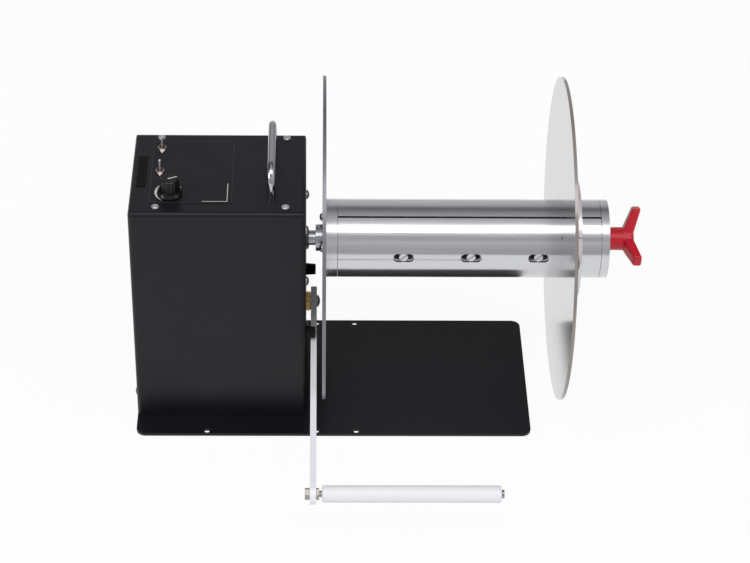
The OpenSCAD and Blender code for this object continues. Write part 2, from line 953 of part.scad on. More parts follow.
module carry_handle() {
    bar_z = handle_h - handle_rod / 2;
    run = handle_span / 2 - handle_bend;
    color("#dcdde0")
        on_panel()
            translate([handle_x, handle_y, 0])
                difference() {
                    union() {
                        for (sy = [-1, 1]) {
                            translate([0, sy * handle_span / 2, 0])
                                cylinder(h = bar_z - handle_bend, d = handle_rod);
                            translate([0, sy * run, bar_z - handle_bend])
                                rotate([90, 0, 90])
                                    rotate([0, 0, sy > 0 ? 0 : 90])
                                        rotate_extrude(angle = 90)
                                            translate([handle_bend, 0])
                                                circle(d = handle_rod);
                        }
                        translate([0, 0, bar_z])
                            rotate([90, 0, 0])
                                cylinder(h = 2 * run, d = handle_rod, center = true);
                    }
                    for (sy = [-1, 1])
                        translate([0, sy * handle_span / 2, -1])
                            cylinder(h = 12, d = screw_d + 2 * seat_fit);
                }
}

module handle_screws() {
    color("#8d9094")
        on_panel()
            for (sy = [-1, 1])
                translate([handle_x, handle_y + sy * handle_span / 2, -house_wall])
                    mirror([0, 0, 1])
                        domed_screw(screw_d, house_wall + 9);
}

module power_socket() {
    rim_d = socket_d + 4;
    rim_t = 2;
    body_l = 14;
    mouth_d = 5.6;
    mouth_l = 9;
    pin_d = 2;
    color("#1a1a1c")
        on_plate()
            translate([socket_x, house_d / 2, socket_h])
                rotate([-90, 0, 0])
                    difference() {
                        union() {
                            cylinder(h = rim_t, d = rim_d);
                            translate([0, 0, -body_l])
                                cylinder(h = body_l + 1, d = socket_d);
                        }
                        difference() {
                            translate([0, 0, -mouth_l])
                                cylinder(h = mouth_l + rim_t + 1, d = mouth_d);
                            translate([0, 0, -mouth_l - 1])
                                cylinder(h = mouth_l + 2, d = pin_d);
                        }
                    }
}

// Drive

// Outline of the gearbox seen along the spindle, x up and y across
module gearbox_outline(shrink) {
    rounded_rect(case_w - 2 * shrink, case_w - 2 * shrink, 7);
    translate([gear_drop, 0])
        circle(lobe_r - shrink);
    translate([gear_drop / 2, 0])
        square([gear_drop, 2 * (lobe_r - shrink)], center = true);
}

// Room for the two gears, x down and y across
module gear_room_outline() {
    circle(tooth_m * (gear_teeth / 2 + 1) + 1.2);
    translate([gear_drop, 0])
        circle(tooth_m * (pinion_teeth / 2 + 1) + 1.2);
}

module gearbox_case() {
    nose_x1 = house_w + nose_l;
    color("#9a9da1")
        on_axis()
            difference() {
                union() {
                    translate([case_x, 0, 0])
                        rotate([0, 90, 0])
                            linear_extrude(wall_x - case_x)
                                gearbox_outline(0);
                    bar_x(wall_x - 1, house_w, nose_d);
                    translate([house_w, 0, 0])
                        rotate([0, 90, 0])
                            cylinder(h = nose_l, d1 = nose_d, d2 = nose_d - nose_taper);
                }
                translate([case_x - 1, 0, 0])
                    rotate([0, 90, 0])
                        linear_extrude(gear_room + 1)
                            gear_room_outline();
                bar_x(case_x, wall_x - case_front + bearing_w, bearing_d + 2 * seat_fit);
                bar_x(case_x, nose_x1 + 1, spindle_d + 1);
                drive_corners()
                    bar_x(case_x - 1, wall_x + 1, screw_d + 2 * seat_fit);
            }
}

module gearbox_cover() {
    color("#8b8e93")
        on_axis()
            difference() {
                translate([cover_x, 0, 0])
                    rotate([0, 90, 0])
                        linear_extrude(cover_t)
                            gearbox_outline(0);
                bar_x(case_x - bearing_w, case_x + 1, bearing_d + 2 * seat_fit);
                bar_x(cover_x + bearing_back, case_x, spindle_d + 1);
                translate([0, 0, -gear_drop])
                    bar_x(cover_x - 1, case_x + 1, motor_shaft_d + 2);
                drive_corners()
                    bar_x(cover_x - 1, case_x + 1, screw_d + 2 * seat_fit);
            }
}

module wall_screws() {
    color("#c4c6c9")
        on_axis()
            drive_corners()
                translate([house_w, 0, 0])
                    rotate([0, 90, 0])
                        domed_screw(screw_d, house_wall + case_front - 1, head_d, head_h + 1);
}

module cover_bolts() {
    color("#5c5f64")
        on_axis()
            drive_corners() {
                hex_x(cover_x - 4, cover_x, screw_d + 3);
                bar_x(cover_x - 1, case_x + 9, screw_d);
            }
}

module drive_motor() {
    motor_x1 = cover_x;
    motor_x0 = motor_x1 - motor_l;
    color("#2f3134")
        on_axis()
            translate([0, 0, -gear_drop])
                difference() {
                    union() {
                        bar_x(motor_x0 + 8, motor_x1, motor_d);
                        bar_x(motor_x0, motor_x0 + 9, motor_d - 8);
                        for (sy = [-1, 1])
                            translate([motor_x0 - 5, sy * 12 - 0.5, 4])
                                cube([6, 1, 5]);
                    }
                    bar_x(motor_x0 + 12, motor_x1 + 1, motor_shaft_d + 2 * run_fit);
                }
}

// Half the angle that a tooth covers at a radius, from the pitch line's thickness along an involute
function involute(angle) = tan(angle) * 180 / PI - angle;
function half_tooth(teeth, r) =
    let (pitch_r = tooth_m * teeth / 2,
         base_r = pitch_r * cos(tooth_angle),
         thickness = PI * tooth_m / 2 - tooth_play / 2)
    thickness / 2 / pitch_r * 180 / PI + involute(tooth_angle) - involute(acos(base_r / max(r, base_r)));

// Outline of a spur gear, with a tooth in the middle of local +x
module gear_outline(teeth) {
    pitch_r = tooth_m * teeth / 2;
    root_r = pitch_r - 1.25 * tooth_m;
    radii = [root_r, pitch_r - 0.5 * tooth_m, pitch_r, pitch_r + 0.5 * tooth_m, pitch_r + tooth_m];
    polygon([
        for (i = [0:teeth - 1], side = [-1, 1], k = [0:4])
            let (r = radii[side < 0 ? k : 4 - k],
                 angle = i * 360 / teeth + side * half_tooth(teeth, r))
            [r * cos(angle), r * sin(angle)]
    ]);
}

module motor_pinion() {
    color("#a8a394")
        on_axis()
            translate([0, 0, -gear_drop]) {
                translate([gear_x - 0.5, 0, 0])
                    rotate([0, 90, 0])
                        linear_extrude(gear_w + 1)
                            difference() {
                                rotate([0, 0, 180 / pinion_teeth + 180])
                                    gear_outline(pinion_teeth);
                                circle(d = motor_shaft_d + 2 * seat_fit);
                            }
                bar_x(cover_x - motor_l + 13, gear_x + gear_w, motor_shaft_d);
            }
}

module drive_gear() {
    color("#c2b280")
        on_axis()
            translate([gear_x, 0, 0])
                rotate([0, 90, 0])
                    linear_extrude(gear_w)
                        difference() {
                            gear_outline(gear_teeth);
                            circle(d = spindle_d + 2 * seat_fit);
                        }
}

inner_race_d = spindle_d + (bearing_d - spindle_d) * 0.3;
module bearing_outer_rings() {
    color("#b4b6ba")
        on_axis()
            for (x = bearing_xs)
                difference() {
                    bar_x(x, x + bearing_w, bearing_d);
                    bar_x(x - 1, x + bearing_w + 1, inner_race_d + 2 * run_fit);
                }
}

module bearing_inner_rings() {
    color("#cfd1d4")
        on_axis()
            for (x = bearing_xs)
                difference() {
                    bar_x(x, x + bearing_w, inner_race_d);
                    bar_x(x - 1, x + bearing_w + 1, spindle_d + 2 * seat_fit);
                }
}

// Mandrel

spindle_tail = 11;
module spindle() {
    color("#c8cacd")
        on_axis() {
            bar_x(case_x - bearing_w - 0.5, house_w + nose_l + face_gap, spindle_d);
            bar_x(house_w + nose_l + face_gap, collar_x, shoulder_d);
            bar_x(collar_x, jaw_x0 + spindle_tail, tail_d);
        }
}

set_screw_d = 4;
module hub_collar() {
    color("#b9bbbf")
        on_axis()
            difference() {
                bar_x(collar_x, flange_x, collar_d);
                bar_x(collar_x - 1, flange_x + 1, tail_d + 2 * seat_fit);
                translate([collar_x + collar_l / 2, 0, 0])
                    cylinder(h = collar_d, d = set_screw_d + 2 * seat_fit);
            }
}

module flange_screw_places() {
    for (i = [0:flange_screws - 1])
        spoke(jaw_angle + i * 360 / flange_screws)
            translate([0, 0, flange_screw_r])
                children();
}

module hub_screws() {
    color("#c9cbce")
        on_axis() {
            flange_screw_places()
                translate([flange_x, 0, 0])
                    rotate([0, -90, 0])
                        domed_screw(flange_screw_d, flange_t + ring_l - 1.5, flange_head_d, head_h + 1);
            translate([collar_x + collar_l / 2, 0, tail_d / 2 + 0.2])
                cylinder(h = (collar_d - tail_d) / 2 - 0.6, d = set_screw_d);
        }
}

module inner_flange() {
    color("#c6c8ca")
        on_axis()
            difference() {
                bar_x(flange_x, ring_x, flange_d);
                bar_x(flange_x - 1, ring_x + 1, tail_d + 2 * seat_fit);
                flange_screw_places()
                    bar_x(flange_x - 1, ring_x + 1, flange_screw_d + 2 * seat_fit);
            }
}

module mandrel_ring() {
    color("#cccdd0")
        on_axis()
            difference() {
                union() {
                    bar_x(ring_x, jaw_x0, mandrel_d);
                    bar_x(jaw_x0 - 1, jaw_x0 + spigot_l, core_bore - 2 * seat_fit);
                }
                bar_x(ring_x - 1, jaw_x0 + spindle_tail + 0.2, tail_d + 2 * seat_fit);
                flange_screw_places()
                    bar_x(ring_x - 1, jaw_x0 - 1, flange_screw_d + 2 * seat_fit);
            }
}

end_screw_r = (core_d + core_bore) / 4;
end_screw_d = 3;
module end_screw_places() {
    for (i = [0:2])
        spoke(jaw_angle + 60 + 120 * i)
            translate([0, 0, end_screw_r])
                children();
}

module core_tube() {
    slot_l = 2 * sleeve_travel + cross_pin_d + 1;
    color("#b3b6ba")
        on_axis()
            difference() {
                bar_x(jaw_x0, jaw_x1, core_d);
                bar_x(jaw_x0 - 1, jaw_x1 + 1, core_bore);
                spoke(jaw_angle + 60)
                    translate([nut_x, 0, 0])
                        linear_extrude(core_d + 2, center = true)
                            rounded_rect(slot_l, cross_pin_d + 0.6, (cross_pin_d + 0.6) / 2 - 0.01);
                end_screw_places()
                    bar_x(jaw_x1 - 12, jaw_x1 + 1, end_screw_d + 2 * seat_fit);
            }
}

end_head_h = 2.2;
module end_screw(grow) {
    translate([end_x, 0, 0])
        rotate([0, -90, 0]) {
            cylinder(h = end_head_h, d1 = 2 * end_screw_d + 2 * grow, d2 = end_screw_d + 2 * grow);
            cylinder(h = end_cap_l + 8, d = end_screw_d + 2 * grow);
        }
}

module end_cap() {
    color("#cccdd0")
        on_axis()
            difference() {
                union() {
                    bar_x(jaw_x1, end_x, mandrel_d);
                    bar_x(jaw_x1 - spigot_l, jaw_x1 + 1, core_bore - 2 * seat_fit);
                }
                bar_x(jaw_x1 - spigot_l - 1, end_x + 1, draw_d + 2 * run_fit);
                end_screw_places()
                    end_screw(seat_fit);
            }
}

module end_cap_screws() {
    color("#b0b2b6")
        on_axis()
            end_screw_places()
                end_screw(0);
}

// Radius of the expander's ramp at a station, before any gap
function ramp_at(x, middle) = ramp_r - (x - middle) * tan(ramp_angle);

// A wedge between a ramp and a plain radius, on a spoke
module wedge(middle, plain_r, gap) {
    x0 = middle - ramp_l / 2;
    x1 = middle + ramp_l / 2;
    rotate([90, 0, 0])
        linear_extrude(ramp_w, center = true)
            polygon([
                [x0, plain_r],
                [x1, plain_r],
                [x1, ramp_at(x1, middle) + gap],
                [x0, ramp_at(x0, middle) + gap]
            ]);
}

// An oval hole through a jaw, along its spoke
module oval(l, w, r0, r1) {
    translate([0, 0, r0])
        linear_extrude(r1 - r0) {
            square([l - w, w], center = true);
            for (s = [-1, 1])
                translate([s * (l - w) / 2, 0])
                    circle(d = w);
        }
}

// One jaw: a third of the mandrel's wall with two wedges inside
module jaw(angle) {
    shank_w = oval_w - 2 * head_ledge;
    color("#d0d2d5")
        on_axis()
            spoke(angle)
                difference() {
                    union() {
                        translate([jaw_x0 + face_gap, 0, 0])
                            rotate([0, 90, 0])
                                rotate([0, 0, 180 - jaw_sweep / 2])
                                    rotate_extrude(angle = jaw_sweep)
                                        translate([jaw_in_r, 0])
                                            square([jaw_t, jaw_room - 2 * face_gap]);
                        for (x = ramp_xs)
                            wedge(x, jaw_in_r + 1, ramp_gap);
                    }
                    rotate([-jaw_screw_turn, 0, 0])
                        for (x = jaw_screw_xs)
                            translate([x, 0, 0]) {
                                oval(oval_l, oval_w, jaw_floor_r, mandrel_d);
                                oval(oval_l - oval_w + shank_w, shank_w, jaw_in_r - 1, jaw_floor_r + 1);
                            }
                }
}

module front_jaw() {
    jaw(jaw_angles[0]);
}

module back_jaw() {
    jaw(jaw_angles[1]);
}

module under_jaw() {
    jaw(jaw_angles[2]);
}

jaw_thread_l = 4;
module expander_sleeve() {
    color("#9fa2a7")
        on_axis()
            difference() {
                union() {
                    bar_x(sleeve_x0, sleeve_x1, sleeve_d);
                    for (angle = jaw_angles)
                        spoke(angle)
                            for (x = ramp_xs)
                                wedge(x, sleeve_d / 2 - 1.6, 0);
                }
                bar_x(sleeve_x0 - 1, sleeve_x1 + 1, core_d + 2 * run_fit);
                for (angle = jaw_angles, x = jaw_screw_xs)
                    spoke(angle + jaw_screw_turn)
                        translate([x, 0, core_d / 2 - 1])
                            cylinder(h = sleeve_d, d = jaw_screw_d + 2 * seat_fit);
                spoke(jaw_angle + 60)
                    translate([nut_x, 0, 0])
                        cylinder(h = 2 * sleeve_d, d = cross_pin_d + 2 * seat_fit, center = true);
            }
}

module jaw_screws() {
    head_z = jaw_floor_r + 0.5;
    color("#c2c4c8")
        on_axis()
            for (angle = jaw_angles, x = jaw_screw_xs)
                spoke(angle + jaw_screw_turn)
                    translate([x, 0, 0])
                        difference() {
                            union() {
                                translate([0, 0, head_z])
                                    cylinder(h = jaw_head_h, d = jaw_head_d);
                                translate([0, 0, core_d / 2 + 0.5])
                                    cylinder(h = head_z - core_d / 2, d = jaw_screw_d);
                            }
                            translate([0, 0, head_z + jaw_head_h])
                                rotate([0, 0, 35])
                                    cube([jaw_head_d + 1, drive_slot, 2 * drive_depth], center = true);
                        }
}

module draw_screw() {
    color("#bcbec2")
        on_axis() {
            bar_x(nut_x - nut_l - sleeve_travel, end_x + wing_root, draw_d);
            bar_x(jaw_x1 - spigot_l - face_gap - 3, jaw_x1 - spigot_l - face_gap, stop_ring_d);
        }
}

module draw_nut() {
    pin_l = sleeve_d - 0.6;
    color("#b08d4a")
        on_axis() {
            difference() {
                bar_x(nut_x - nut_l / 2, nut_x + nut_l / 2, core_bore - 2 * run_fit);
                bar_x(nut_x - nut_l, nut_x + nut_l, draw_d + 2 * run_fit);
                spoke(jaw_angle + 60)
                    translate([nut_x, 0, 0])
                        cylinder(h = sleeve_d, d = cross_pin_d + 2 * seat_fit, center = true);
            }
            for (side = [0, 180])
                spoke(jaw_angle + 60 + side)
                    translate([nut_x, 0, draw_d / 2 + 0.3])
                        cylinder(h = pin_l / 2 - draw_d / 2 - 0.3, d = cross_pin_d);
        }
}

wing_cut = 1;
module wing_knob() {
    hub_r = wing_hub_d / 2;
    root_r = hub_r - 4;
    lean = tan(wing_lean);
    back_x = end_x + wing_root;
    color("#be1e2d")
        on_axis()
            difference() {
                union() {
                    bar_x(end_x + face_gap, back_x + wing_t, wing_hub_d);
                    for (i = [0:2])
                        spoke(wing_angle + 120 * i)
                            rotate([90, 0, 0])
                                linear_extrude(wing_w, center = true)
                                    polygon([
                                        [back_x - (hub_r - root_r) * lean - wing_gusset, root_r],
                                        [back_x + wing_run, wing_r - wing_cut],
                                        [back_x + wing_run + wing_cut, wing_r],
                                        [back_x + wing_run + wing_t - wing_cut, wing_r],
                                        [back_x + wing_run + wing_t, wing_r - wing_cut],
                                        [back_x + wing_t - (hub_r - root_r) * lean, root_r]
                                    ]);
                }
                bar_x(end_x, end_x + wing_root + 0.2, draw_d + 2 * seat_fit);
            }
}

// Outer flange

hub_bore = mandrel_d + 2 * (face_gap - seat_fit);
clamp_r = (hub_d + spigot_d) / 4;
clamp_reach = 14;
module outer_flange() {
    color("#cfcfcd")
        on_axis()
            difference() {
                bar_x(outer_x, hub_x, flange_d);
                bar_x(outer_x - 1, hub_x + 1, spigot_d + 2 * seat_fit);
            }
}

module flange_hub() {
    color("#d6d7d8")
        on_axis()
            difference() {
                union() {
                    bar_x(outer_x, hub_x + 1, spigot_d);
                    bar_x(hub_x, hub_x + hub_l, hub_d);
                }
                bar_x(outer_x - 1, hub_x + hub_l + 1, hub_bore);
                spoke(split_angle)
                    translate([outer_x - 1, -split_w / 2, 0])
                        cube([hub_l + flange_t + 2, split_w, hub_d]);
                spoke(split_angle)
                    translate([hub_x + hub_l / 2, 0, clamp_r])
                        rotate([90, 0, 0]) {
                            cylinder(h = 2 * clamp_reach, d = clamp_screw_d + 2 * seat_fit, center = true);
                            translate([0, 0, clamp_reach - 5])
                                cylinder(h = hub_d, d = 2 * clamp_screw_d);
                        }
            }
}

module clamp_screw() {
    color("#8f9297")
        on_axis()
            spoke(split_angle)
                translate([hub_x + hub_l / 2, 0, clamp_r])
                    rotate([90, 0, 0])
                        difference() {
                            union() {
                                translate([0, 0, -clamp_reach + 1])
                                    cylinder(h = 2 * clamp_reach - 6, d = clamp_screw_d);
                                translate([0, 0, clamp_reach - 5])
                                    cylinder(h = clamp_screw_d, d = 1.7 * clamp_screw_d);
                            }
                            translate([0, 0, clamp_reach - 5 + clamp_screw_d / 2])
                                cylinder(h = clamp_screw_d, d = 0.9 * clamp_screw_d, $fn = 6);
                        }
}

// Tension arm

bush_nut_t = 5;
module arm_bush() {
    color("#b5893c")
        on_pivot() {
            difference() {
                union() {
                    hex_x(house_w, house_w + bush_l, bush_flats);
                    bar_x(wall_x - bush_nut_t - 3, house_w + 1, bush_d);
                }
                bar_x(wall_x - bush_nut_t - 4, house_w + bush_l + 1, arm_shaft_d + 2 * run_fit);
            }
            difference() {
                hex_x(wall_x - bush_nut_t, wall_x, bush_flats + 1);
                bar_x(wall_x - bush_nut_t - 1, wall_x + 1, bush_d + 2 * seat_fit);
            }
        }
}

pivot_screw_d = 4;
pivot_grip = 5;
arm_hole_d = arm_shaft_d - 2;
module arm_shaft() {
    color("#aeb1b5")
        on_pivot()
            difference() {
                union() {
                    bar_x(shaft_end_x, arm_x, arm_shaft_d);
                    bar_x(arm_x - 1, arm_x + arm_t, arm_hole_d);
                }
                bar_x(arm_x - 8, arm_x + arm_t + 1, pivot_screw_d + 2 * seat_fit);
            }
}

module tension_arm() {
    color("#c3c5c8")
        on_pivot()
            translate([arm_x + arm_t, 0, 0])
                along_arm()
                    linear_extrude(arm_t)
                        difference() {
                            union() {
                                translate([-arm_w / 2, -arm_w / 2])
                                    square([arm_l + arm_w / 2, arm_w]);
                                translate([arm_l, 0])
                                    circle(d = arm_w);
                            }
                            circle(d = arm_hole_d + 2 * seat_fit);
                            translate([arm_l, 0])
                                circle(d = axle_d + 2 * seat_fit);
                        }
}

// Children on the roller's line, x from the left
module on_roller() {
    translate([house_x0, axis_y - arm_l * cos(arm_drop), pivot_z - arm_l * sin(arm_drop)])
        children();
}

module arm_fasteners() {
    color("#b7b9bd") {
        on_pivot() {
            translate([arm_x + arm_t, 0, 0])
                rotate([0, 90, 0])
                    domed_screw(pivot_screw_d, arm_t + pivot_grip, pivot_head_d, pivot_head_h);
            difference() {
                bar_x(washer_x, arm_x, bush_flats);
                bar_x(washer_x - 1, arm_x + 1, arm_shaft_d + 2 * seat_fit);
            }
        }
        on_roller() {
            difference() {
                hex_x(arm_x + arm_t, arm_x + arm_t + axle_nut_t, axle_d + 4);
                bar_x(arm_x, roller_x, axle_d + 2 * seat_fit);
            }
            difference() {
                bar_x(roller_cap_x, roller_cap_x + roller_cap_t, roller_cap_d);
                bar_x(roller_x, roller_cap_x + roller_cap_t / 2, axle_d + 2 * seat_fit);
            }
        }
    }
}

module roller_axle() {
    color("#9b9ea3")
        on_roller() {
            hex_x(arm_x - axle_head_t, arm_x, axle_head_d * cos(30));
            bar_x(arm_x, roller_cap_x + roller_cap_t / 2 - 0.1, axle_d);
        }
}

// A plain tube with its outer edges rounded
roller_round = 2.2;
module guide_roller() {
    bore_r = axle_d / 2 + run_fit;
    color("#eeeeee")
        on_roller()
            translate([roller_x, 0, 0])
                rotate([0, 90, 0])
                    rotate_extrude()
                        translate([bore_r, 0]) {
                            translate([0, roller_round])
                                square([roller_d / 2 - bore_r, roller_l - 2 * roller_round]);
                            square([roller_d / 2 - bore_r - roller_round, roller_l]);
                            for (y = [roller_round, roller_l - roller_round])
                                translate([roller_d / 2 - bore_r - roller_round, y])
                                    circle(roller_round);
                        }
}

module rubber_stops() {
    color("#101012")
        on_pivot()
            stop_places() {
                translate([house_w, 0, 0])
                    rotate([0, 90, 0])
                        cylinder(h = stop_l, d1 = stop_d, d2 = stop_d - 1.6);
                bar_x(wall_x - 4, house_w + 1, stop_stud_d);
            }
}

// Outline of a spiral strip from the arm shaft out to its last turn
module spiral_strip() {
    start_r = arm_shaft_d / 2 + face_gap;
    last = 24 * spring_turns;
    step = (spring_r - spring_t - start_r) / last;
    polygon(concat(
        [for (i = [0:last]) let (r = start_r + step * i) [r * cos(15 * i), r * sin(15 * i)]],
        [for (i = [last:-1:0]) let (r = start_r + step * i + spring_t) [r * cos(15 * i), r * sin(15 * i)]]
    ));
}

spring_x = shaft_end_x + 18;
module arm_spring() {
    color("#4c5560")
        on_pivot()
            translate([spring_x, 0, 0])
                rotate([0, 90, 0])
                    linear_extrude(spring_w)
                        rotate([0, 0, 90])
                            spiral_strip();
}

// A U of sheet on the wall that holds the sensor and the spring's outer end
strap_t = 2;
strap_in = spring_r + face_gap;
strap_w = 18;
strap_foot = 12;
sensor_x = shaft_end_x + 12;
module sensor_bracket() {
    color("#8d9094")
        on_pivot()
            difference() {
                union() {
                    for (sy = [-1, 1]) {
                        translate([sensor_x, sy * (strap_in + strap_t / 2) - strap_t / 2, -strap_w / 2])
                            cube([wall_x - sensor_x, strap_t, strap_w]);
                        translate([wall_x - strap_t, 0, -strap_w / 2])
                            translate([0, sy * (strap_in + strap_foot / 2) - strap_foot / 2, 0])
                                cube([strap_t, strap_foot, strap_w]);
                    }
                    translate([sensor_x, -strap_in - strap_t, -strap_w / 2])
                        cube([strap_t, 2 * (strap_in + strap_t), strap_w]);
                }
                bar_x(sensor_x - 1, sensor_x + strap_t + 1, arm_shaft_d + 0.8);
            }
}

sensor_d = 24;
module arm_sensor() {
    color("#33424f")
        on_pivot()
            difference() {
                bar_x(shaft_end_x - 3, sensor_x, sensor_d);
                bar_x(shaft_end_x - 0.5, sensor_x + 1, arm_shaft_d + 2 * run_fit);
            }
}

base_plate();
rubber_feet();
base_brackets();
base_screws();
housing_shell();
side_screws();
panel_screws();
board_standoffs();
control_board();
board_components();
control_overlay();
name_plate();
torque_pot();
panel_nuts();
torque_knob();
toggle_bodies();
front_toggle_lever();
rear_toggle_lever();
carry_handle();
handle_screws();
power_socket();
gearbox_case();
gearbox_cover();
wall_screws();
cover_bolts();
drive_motor();
motor_pinion();
drive_gear();
bearing_outer_rings();
bearing_inner_rings();
spindle();
hub_collar();
hub_screws();
inner_flange();
mandrel_ring();
core_tube();
end_cap();
end_cap_screws();
front_jaw();
back_jaw();
under_jaw();
expander_sleeve();
jaw_screws();
draw_screw();
draw_nut();
wing_knob();
outer_flange();
flange_hub();
clamp_screw();
arm_bush();
arm_shaft();
tension_arm();
arm_fasteners();
arm_spring();
sensor_bracket();
arm_sensor();
roller_axle();
guide_roller();
rubber_stops();
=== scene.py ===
"""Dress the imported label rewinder: finishes, printed panel marks, moulded knob, studio and camera.

The frame holds every solid at its real size. This script gives each solid the finish of the real piece,
replaces the winged knob with its moulded form, prints the panel's marks and sets up a plain studio.
"""

from __future__ import annotations

import json
import logging
import math
from dataclasses import dataclass, field, replace
from enum import Enum
from typing import Any, Iterable, Sequence

import bmesh
import bpy
from mathutils import Matrix, Vector

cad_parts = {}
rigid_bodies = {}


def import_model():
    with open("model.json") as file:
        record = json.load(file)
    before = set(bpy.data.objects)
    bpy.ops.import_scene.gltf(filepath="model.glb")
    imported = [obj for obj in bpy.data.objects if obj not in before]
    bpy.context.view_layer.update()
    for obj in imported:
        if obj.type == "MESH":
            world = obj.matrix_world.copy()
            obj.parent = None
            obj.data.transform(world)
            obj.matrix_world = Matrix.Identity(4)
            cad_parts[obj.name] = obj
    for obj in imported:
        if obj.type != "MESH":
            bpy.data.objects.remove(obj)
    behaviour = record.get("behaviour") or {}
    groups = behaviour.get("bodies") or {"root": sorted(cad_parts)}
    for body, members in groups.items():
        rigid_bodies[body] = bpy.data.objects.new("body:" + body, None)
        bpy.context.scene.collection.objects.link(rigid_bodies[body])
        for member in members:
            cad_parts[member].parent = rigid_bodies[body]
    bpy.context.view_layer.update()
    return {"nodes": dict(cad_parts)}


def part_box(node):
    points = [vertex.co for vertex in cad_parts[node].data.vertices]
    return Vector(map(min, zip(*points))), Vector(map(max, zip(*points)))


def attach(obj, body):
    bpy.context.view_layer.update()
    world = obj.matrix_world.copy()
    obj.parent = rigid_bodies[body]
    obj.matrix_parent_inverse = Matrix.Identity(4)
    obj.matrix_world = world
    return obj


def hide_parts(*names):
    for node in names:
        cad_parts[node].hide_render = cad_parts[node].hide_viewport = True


LOG = logging.getLogger("label_rewinder")
MM = 0.001

Pair = tuple[float, float]
Colour = tuple[float, float, float, float]
Faces = list[list[int]]

WHITE = "#ffffff"
# Nearly all values of a noise texture lie between these
NOISE_SPAN: Pair = (0.3, 0.7)
# Height of the grain of a coating and of a tool mark, at full strength
GRAIN_HEIGHT_MM = 0.1
MARK_HEIGHT_MM = 0.05
# Finer layers of noise in a coating's grain, in the slow patches of its gloss and in tool marks
GRAIN_DETAIL = 2.0
CLOUD_DETAIL = 3.0
MARK_DETAIL = 4.0
# Length of a drawn line, in line spacings
DRAWN_LENGTH = 60
# Depth to which light scatters in a moulded plastic, and its share for red, green and blue
SCATTER_MM = 1.5
SCATTER_SHARE = (1.0, 0.6, 0.4)
# Points closer than this are one point
WELD_MM = 0.001


def linear(code: str) -> Colour:
    """Turn an sRGB hex colour into the linear colour that the shaders use.

    Args:
        code: Six hex digits with a leading hash.

    Returns:
        Linear red, green and blue, with full alpha.
    """
    parts = [int(code[i : i + 2], 16) / 255 for i in (1, 3, 5)]
    red, green, blue = (c / 12.92 if c <= 0.04045 else ((c + 0.055) / 1.055) ** 2.4 for c in parts)
    return (red, green, blue, 1.0)


def tones(code: str, drift: float) -> tuple[Colour, Colour]:
    """Return a darker and a lighter tone of a colour.

    Args:
        code: sRGB hex colour.
        drift: How far each tone lies from it, as a share.

    Returns:
        The two linear colours.
    """
    *shades, alpha = linear(code)
    low = (*(shade * (1 - drift) for shade in shades), alpha)
    high = (*(min(1.0, shade * (1 + drift)) for shade in shades), alpha)
    return low, high


def per_metre(size_mm: float) -> float:
    """Return the texture scale at which one feature covers the given size."""
    return 1 / (size_mm * MM)


def add(
    tree: bpy.types.NodeTree, kind: str, inputs: dict[Any, Any] | None = None, **settings: Any
) -> bpy.types.Node:
    """Add a node with its settings and links.

    Args:
        tree: The node tree that takes the node.
        kind: Blender's name for the node's type.
        inputs: A value or a linked socket for each input, by name or number.
        **settings: Properties of the node itself.

    Returns:
        The new node.
    """
    node = tree.nodes.new(kind)
    for name, value in settings.items():
        setattr(node, name, value)
    for name, value in (inputs or {}).items():
        if isinstance(value, bpy.types.NodeSocket):
            tree.links.new(value, node.inputs[name])
        else:
            node.inputs[name].default_value = value
    return node


def mesh_object(
    name: str, points: Iterable[Sequence[float]], faces: Iterable[Sequence[int]], smooth: bool
) -> bpy.types.Object:
    """Make a mesh object from points and faces.

    Args:
        name: The object's name.
        points: Corner points in metres, in the machine's frame.
        faces: Corner numbers of each face.
        smooth: Whether the faces are shaded smooth.

    Returns:
        The object, linked into the scene.
    """
    mesh = bpy.data.meshes.new(name)
    mesh.from_pydata([tuple(p) for p in points], [], [tuple(f) for f in faces])
    mesh.update()
    for polygon in mesh.polygons:
        polygon.use_smooth = smooth
    made = bpy.data.objects.new(name, mesh)
    bpy.context.scene.collection.objects.link(made)
    return made


def tube_faces(rings: int, sides: int) -> Faces:
    """Join rings of points into a tube.

    Args:
        rings: Number of rings, one after the other.
        sides: Number of points in each ring.

    Returns:
        Corner numbers of each face.
    """
    return [
        [i + k, i + (k + 1) % sides, i + sides + (k + 1) % sides, i + sides + k]
        for i in range(0, (rings - 1) * sides, sides)
        for k in range(sides)
    ]


def middle(node: str) -> Vector:
    """Return the middle of a solid's box, in metres."""
    low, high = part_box(node)
    return Vector(((low.x + high.x) / 2, (low.y + high.y) / 2, (low.z + high.z) / 2))


class Lay(Enum):
    """The way the tool marks run on a metal surface."""

    NONE = "no direction"
    ALONG = "drawn along the mandrel"
    TURNED = "turned about an axis along the mandrel"


